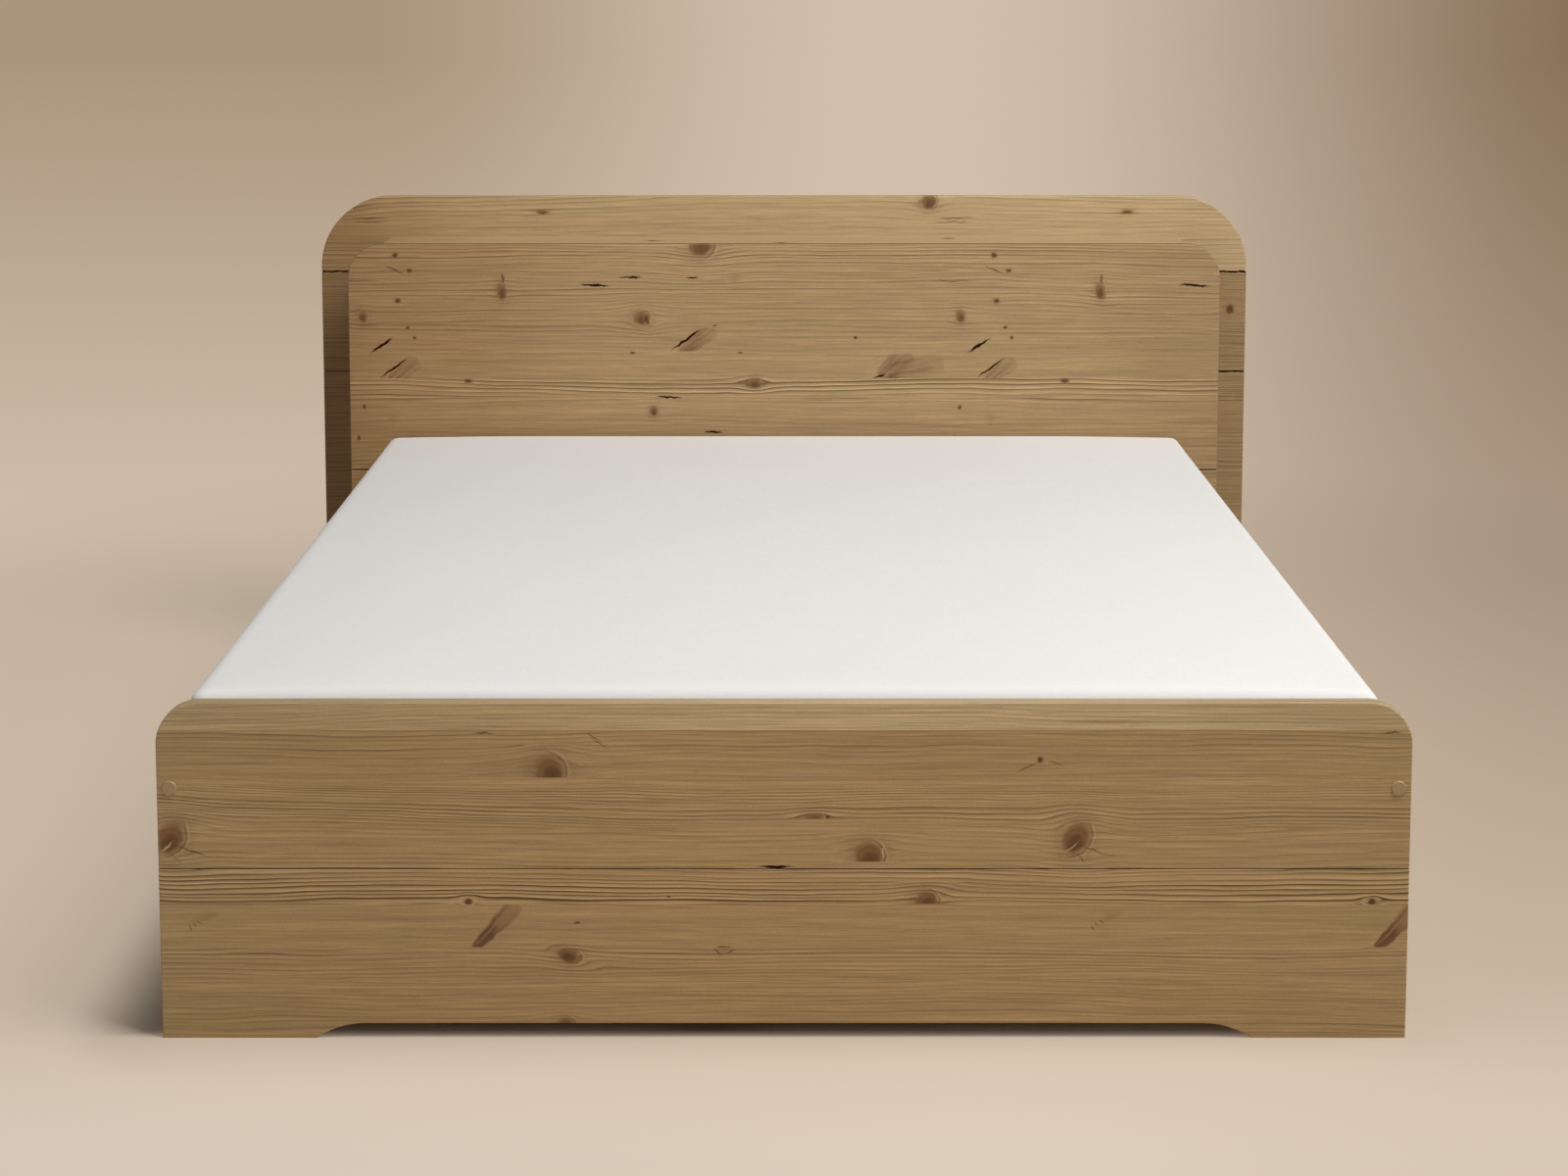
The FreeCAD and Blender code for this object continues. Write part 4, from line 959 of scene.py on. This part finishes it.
# Its cloth, with a little air inside, and the frames of its simulation
CLOTH = {
    "quality": 4, "mass": 0.4, "tension_stiffness": 25, "compression_stiffness": 25,
    "bending_stiffness": 3, "use_pressure": True, "uniform_pressure_force": 4,
}
CLOTH_FRAMES = 20
# Its seam: its height as a share of the side's, half its own height, how proud it is, how deep
# its edges sink in, its steps along the sides, and the exponent that squares its corners
SEAM_HEIGHT_SHARE = 0.66
SEAM_HALF, SEAM_PROUD, SEAM_SINK, SEAM_STEP = 4 * MM, 0.9 * MM, 0.2 * MM, 6 * MM
SEAM_SQUARE = 8
# Up to the seam's middle, shares of its half height and of how proud it is
SEAM_PROFILE = [(-1, 0), (-0.7, 1), (-0.1, 0.8), (0, 0.2)]
# How far outside the mattress the search for its side starts
SEARCH_START = 0.2


def spaced(low, high):
    """Places from low to high, close together near both ends."""
    fine = [FINE_STEP * step for step in range(round(FINE_MARGIN / FINE_STEP))]
    reach = high - low - 2 * FINE_MARGIN
    coarse = max(1, round(reach / COARSE_STEP))
    middle = [low + FINE_MARGIN + reach * step / coarse for step in range(coarse + 1)]
    return [low + inset for inset in fine] + middle + [high - inset for inset in reversed(fine)]


def box_skin(xs, ys, zs):
    """A closed mesh of quads over a box, with corners at the given places."""
    mesh = bmesh.new()
    last = (len(xs) - 1, len(ys) - 1, len(zs) - 1)

    @cache
    def corner(i, j, k):
        return mesh.verts.new((xs[i], ys[j], zs[k]))

    for axis in range(3):
        one, two = [other for other in range(3) if other != axis]
        for end, a, b in product((0, last[axis]), range(last[one]), range(last[two])):
            ring = []
            for step_a, step_b in ((0, 0), (1, 0), (1, 1), (0, 1)):
                place = [0, 0, 0]
                place[axis], place[one], place[two] = end, a + step_a, b + step_b
                ring.append(corner(*place))
            mesh.faces.new(ring)
    bmesh.ops.recalc_face_normals(mesh, faces=mesh.faces)
    return mesh


def soften(place, low, high):
    """Moves a point of the box's skin onto the rounded, crowned and drawn-in form."""
    sides = zip(place, low, high)
    inner = Vector(min(max(p, a + EDGE_RADIUS), b - EDGE_RADIUS) for p, a, b in sides)
    out = place - inner
    place = inner + out.normalized() * EDGE_RADIUS
    height = (place.z - low.z) / (high.z - low.z)
    middle = (low + high) / 2
    draw = SIDE_DRAW * math.sin(math.pi * height) ** 2
    for axis in (0, 1):
        if abs(out[axis]) > abs(out.z):
            place[axis] -= math.copysign(draw, place[axis] - middle[axis])
    if place.z > middle.z:
        rise = CROWN
        for axis, reach in enumerate(CROWN_REACH):
            inset = min(place[axis] - low[axis], high[axis] - place[axis])
            share = min(max(inset / reach, 0), 1)
            rise *= share * (2 - share)
        place.z += rise
    return place


def apply_modifiers(piece):
    """Makes what a piece's modifiers give its own mesh."""
    graph = bpy.context.evaluated_depsgraph_get()
    mesh = bpy.data.meshes.new_from_object(piece.evaluated_get(graph))
    piece.modifiers.clear()
    piece.data = mesh


def blow_up(piece):
    """Cloth simulation, applied to the mesh."""
    cloth = piece.modifiers.new("cloth", "CLOTH")
    for name, value in CLOTH.items():
        setattr(cloth.settings, name, value)
    cloth.settings.effector_weights.gravity = 0
    cloth.collision_settings.use_collision = False
    for number in range(CLOTH_FRAMES):
        scene.frame_set(number + 1)
    apply_modifiers(piece)
    scene.frame_set(1)


def make_mattress():
    """The mattress in its cover: crowned on top, with softened sides and a seam round it."""
    low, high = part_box("mattress")
    low, high = low + Vector((SWELL, SWELL, 0)), high - Vector((SWELL, SWELL, CROWN))
    skin = box_skin(*(spaced(a, b) for a, b in zip(low, high)))
    for vertex in skin.verts:
        vertex.co = soften(vertex.co.copy(), low, high)
    mesh = bpy.data.meshes.new("mattress_cover")
    skin.to_mesh(mesh)
    skin.free()
    cloth = cover_cloth()
    piece = new_piece("mattress_cover", mesh, cloth, "mattress_body", smooth=True)
    rest = [vertex.co.copy() for vertex in piece.data.vertices]
    blow_up(piece)
    for vertex, start in zip(piece.data.vertices, rest):
        move = vertex.co - start
        vertex.co = start + move * (SWELL / (move.length + SWELL))
        vertex.co.z = max(vertex.co.z, low.z)
    finer = piece.modifiers.new("finer", "SUBSURF")
    finer.levels = finer.render_levels = 1
    apply_modifiers(piece)
    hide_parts("mattress")
    add_seam(piece, low, high, cloth)


def add_seam(piece, low, high, cloth):
    """The flat seam round the mattress's sides, laid on the cover."""
    tree = BVHTree.FromObject(piece, bpy.context.evaluated_depsgraph_get())
    middle = (low + high) / 2
    middle.z = low.z + SEAM_HEIGHT_SHARE * (high.z - low.z)
    wide, deep = high.x - middle.x, high.y - middle.y
    steps = round(4 * (wide + deep) / SEAM_STEP)
    rows = SEAM_PROFILE + [(-drop, proud) for drop, proud in reversed(SEAM_PROFILE[:-1])]
    mesh = bmesh.new()
    loops = []
    for index in range(steps):
        angle = math.tau * index / steps
        x, y = math.cos(angle), math.sin(angle)
        reach = (abs(x) ** SEAM_SQUARE + abs(y) ** SEAM_SQUARE) ** (-1 / SEAM_SQUARE)
        outward = Vector((wide * reach * x, deep * reach * y, 0))
        away = outward.normalized()
        loop = []
        for drop, proud in rows:
            origin = middle + outward + away * SEARCH_START + Vector((0, 0, drop * SEAM_HALF))
            hit, normal = tree.ray_cast(origin, -away)[:2]
            loop.append(mesh.verts.new(hit + normal * (SEAM_PROUD * proud - SEAM_SINK)))
        loops.append(loop)
    rings = list(zip(*loops))
    for pair in zip(rings, rings[1:]):
        band(mesh, *pair)
    bmesh.ops.recalc_face_normals(mesh, faces=mesh.faces)
    seam = bpy.data.meshes.new("mattress_seam")
    mesh.to_mesh(seam)
    mesh.free()
    new_piece("mattress_seam", seam, cloth, "mattress_body", smooth=True)


# The floor turns into an even backdrop: the share of it that glows under the bed and close round
# it, how far from the bed's outline that is reached, and where it starts to grow and is whole
GLOW_UNDER, GLOW_NEAR = 0, 0.70
GLOW_NEAR_START, GLOW_FAR_START, GLOW_END = 0.16, 0.5, 2.2
# How much of it glows under the footboard's front edge, and how far in that fades out
GLOW_EDGE, EDGE_FADE = 0.37, 0.030
# Painted shade: how much darker the floor is right beside the bed, and how far out that fades
CONTACT_SHADE, CONTACT_FADE = 0.92, 0.16
LIT_GAIN = 1.12
FLOOR_SIZE = 600
FLOOR_TINT = linear(208, 191, 171)
# Painted light on the floor near the front, and painted shade toward its far right and far left
NEAR_LIGHT_TINT = linear(218, 203, 186)
RIGHT_SHADE_TINT = linear(130, 103, 78)
LEFT_SHADE_TINT = linear(160, 136, 111)
# The rows and columns of the frame between which the floor turns to each of these tints
NEAR_ROWS = (980, 1180)
RIGHT_COLUMNS, RIGHT_ROWS = (950, 1680), (60, 1100)
LEFT_COLUMNS, LEFT_ROWS = (890, 360), (60, 540)
# The world's light, and the lamps: each one's name, place, side and power
WORLD_TINT, WORLD_LIGHT = (1, 0.99, 0.975, 1), 0.06
LAMP_TINT = (1, 0.99, 0.98)
LAMP_TARGET = Vector((0, 0, 0.4))
LAMPS = [("key", Vector((2.5, -1.9, 5.2)), 3.0, 322), ("second", Vector((-3.2, -2.4, 4.8)), 2.6, 26)]


def nearness(row):
    """One over the distance from below the camera to the floor that a row shows."""
    return math.tan(PITCH - math.atan(upward(row))) / EYE.z


def floor_color(tree, x, y):
    """Pale, with painted light a little lighter near the bed and painted shade darker toward the far
    corners, the right one most.
    """
    ahead = tree.math("MAXIMUM", tree.minus(y, EYE.y), 1)
    near = tree.math("DIVIDE", 1, ahead)
    side = tree.math("DIVIDE", x, ahead)
    color = tree.mix(tree.ease(near, *map(nearness, NEAR_ROWS)), FLOOR_TINT, NEAR_LIGHT_TINT)
    right = tree.ease(side, *map(sideways, RIGHT_COLUMNS))
    right = tree.times(right, tree.spread(near, *map(nearness, RIGHT_ROWS), 0.95, 0.10))
    color = tree.mix(right, color, RIGHT_SHADE_TINT)
    left = tree.ease(side, *map(sideways, LEFT_COLUMNS))
    left = tree.times(left, tree.spread(near, *map(nearness, LEFT_ROWS), 0.80, 0))
    return tree.mix(left, color, LEFT_SHADE_TINT)


def add_floor():
    """A pale floor with painted light and shade on it, that runs out into an even background."""
    bpy.ops.mesh.primitive_plane_add(size=FLOOR_SIZE)
    floor = bpy.context.object
    floor.name = "floor"
    tree = Tree("floor")
    x, y = tree.split(tree.place(), "XYZ")[:2]
    foot_low, foot_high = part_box("footboard_upper")
    past = [
        tree.math("MAXIMUM", tree.minus(tree.math("ABSOLUTE", part), edge), 0)
        for part, edge in ((x, foot_high.x), (y, cad_high.y))
    ]
    clear = tree.length(tree.combine(*past))
    share = tree.ease(clear, 0, GLOW_NEAR_START, GLOW_UNDER, GLOW_NEAR)
    share = tree.ease(clear, GLOW_FAR_START, GLOW_END, share, 1)
    under_edge = tree.ease(y, foot_low.y + EDGE_FADE, foot_low.y, 0, GLOW_EDGE)
    share = tree.math("MAXIMUM", share, under_edge)
    # painted shade on the floor close round the bed
    contact_shade = tree.ease(clear, 0, CONTACT_FADE, CONTACT_SHADE, 1)
    color = tree.vector("SCALE", floor_color(tree, x, y), Scale=contact_shade)
    lit = tree.vector("SCALE", color, Scale=LIT_GAIN)
    ground = tree.node("ShaderNodeBsdfDiffuse", {"Color": lit})
    glow = tree.node("ShaderNodeEmission", {"Color": color, "Strength": 1})
    blend = tree.node("ShaderNodeMixShader", {0: share, 1: ground, 2: glow})
    tree.node("ShaderNodeOutputMaterial", {0: blend}, out=None)
    floor.data.materials.append(tree.owner)


def add_world():
    """A faint even light, and the floor's colour where the camera or a gloss looks past it."""
    tree = Tree("studio", bpy.data.worlds)
    path = tree.node("ShaderNodeLightPath").node.outputs
    seen = tree.math("MAXIMUM", path["Is Camera Ray"], path["Is Glossy Ray"])
    light = tree.node("ShaderNodeBackground", {"Color": WORLD_TINT, "Strength": WORLD_LIGHT})
    shown = tree.node("ShaderNodeBackground", {"Color": FLOOR_TINT})
    mix = tree.node("ShaderNodeMixShader", {0: seen, 1: light, 2: shown})
    tree.node("ShaderNodeOutputWorld", {0: mix}, out=None)
    scene.world = tree.owner


def add_lamp(name, place, size, power):
    """A square soft box that points at the bed."""
    data = bpy.data.lights.new(name, "AREA")
    data.shape = "SQUARE"
    data.size = size
    data.energy = power
    data.color = LAMP_TINT
    lamp = bpy.data.objects.new(name, data)
    lamp.location = place
    lamp.rotation_euler = (LAMP_TARGET - place).to_track_quat("-Z", "Y").to_euler()
    scene.collection.objects.link(lamp)


add_camera()
add_floor()
add_world()
for lamp_facts in LAMPS:
    add_lamp(*lamp_facts)
dress_wood()
add_fasteners(dress_fittings())
make_mattress()
scene.view_settings.view_transform = "Standard"
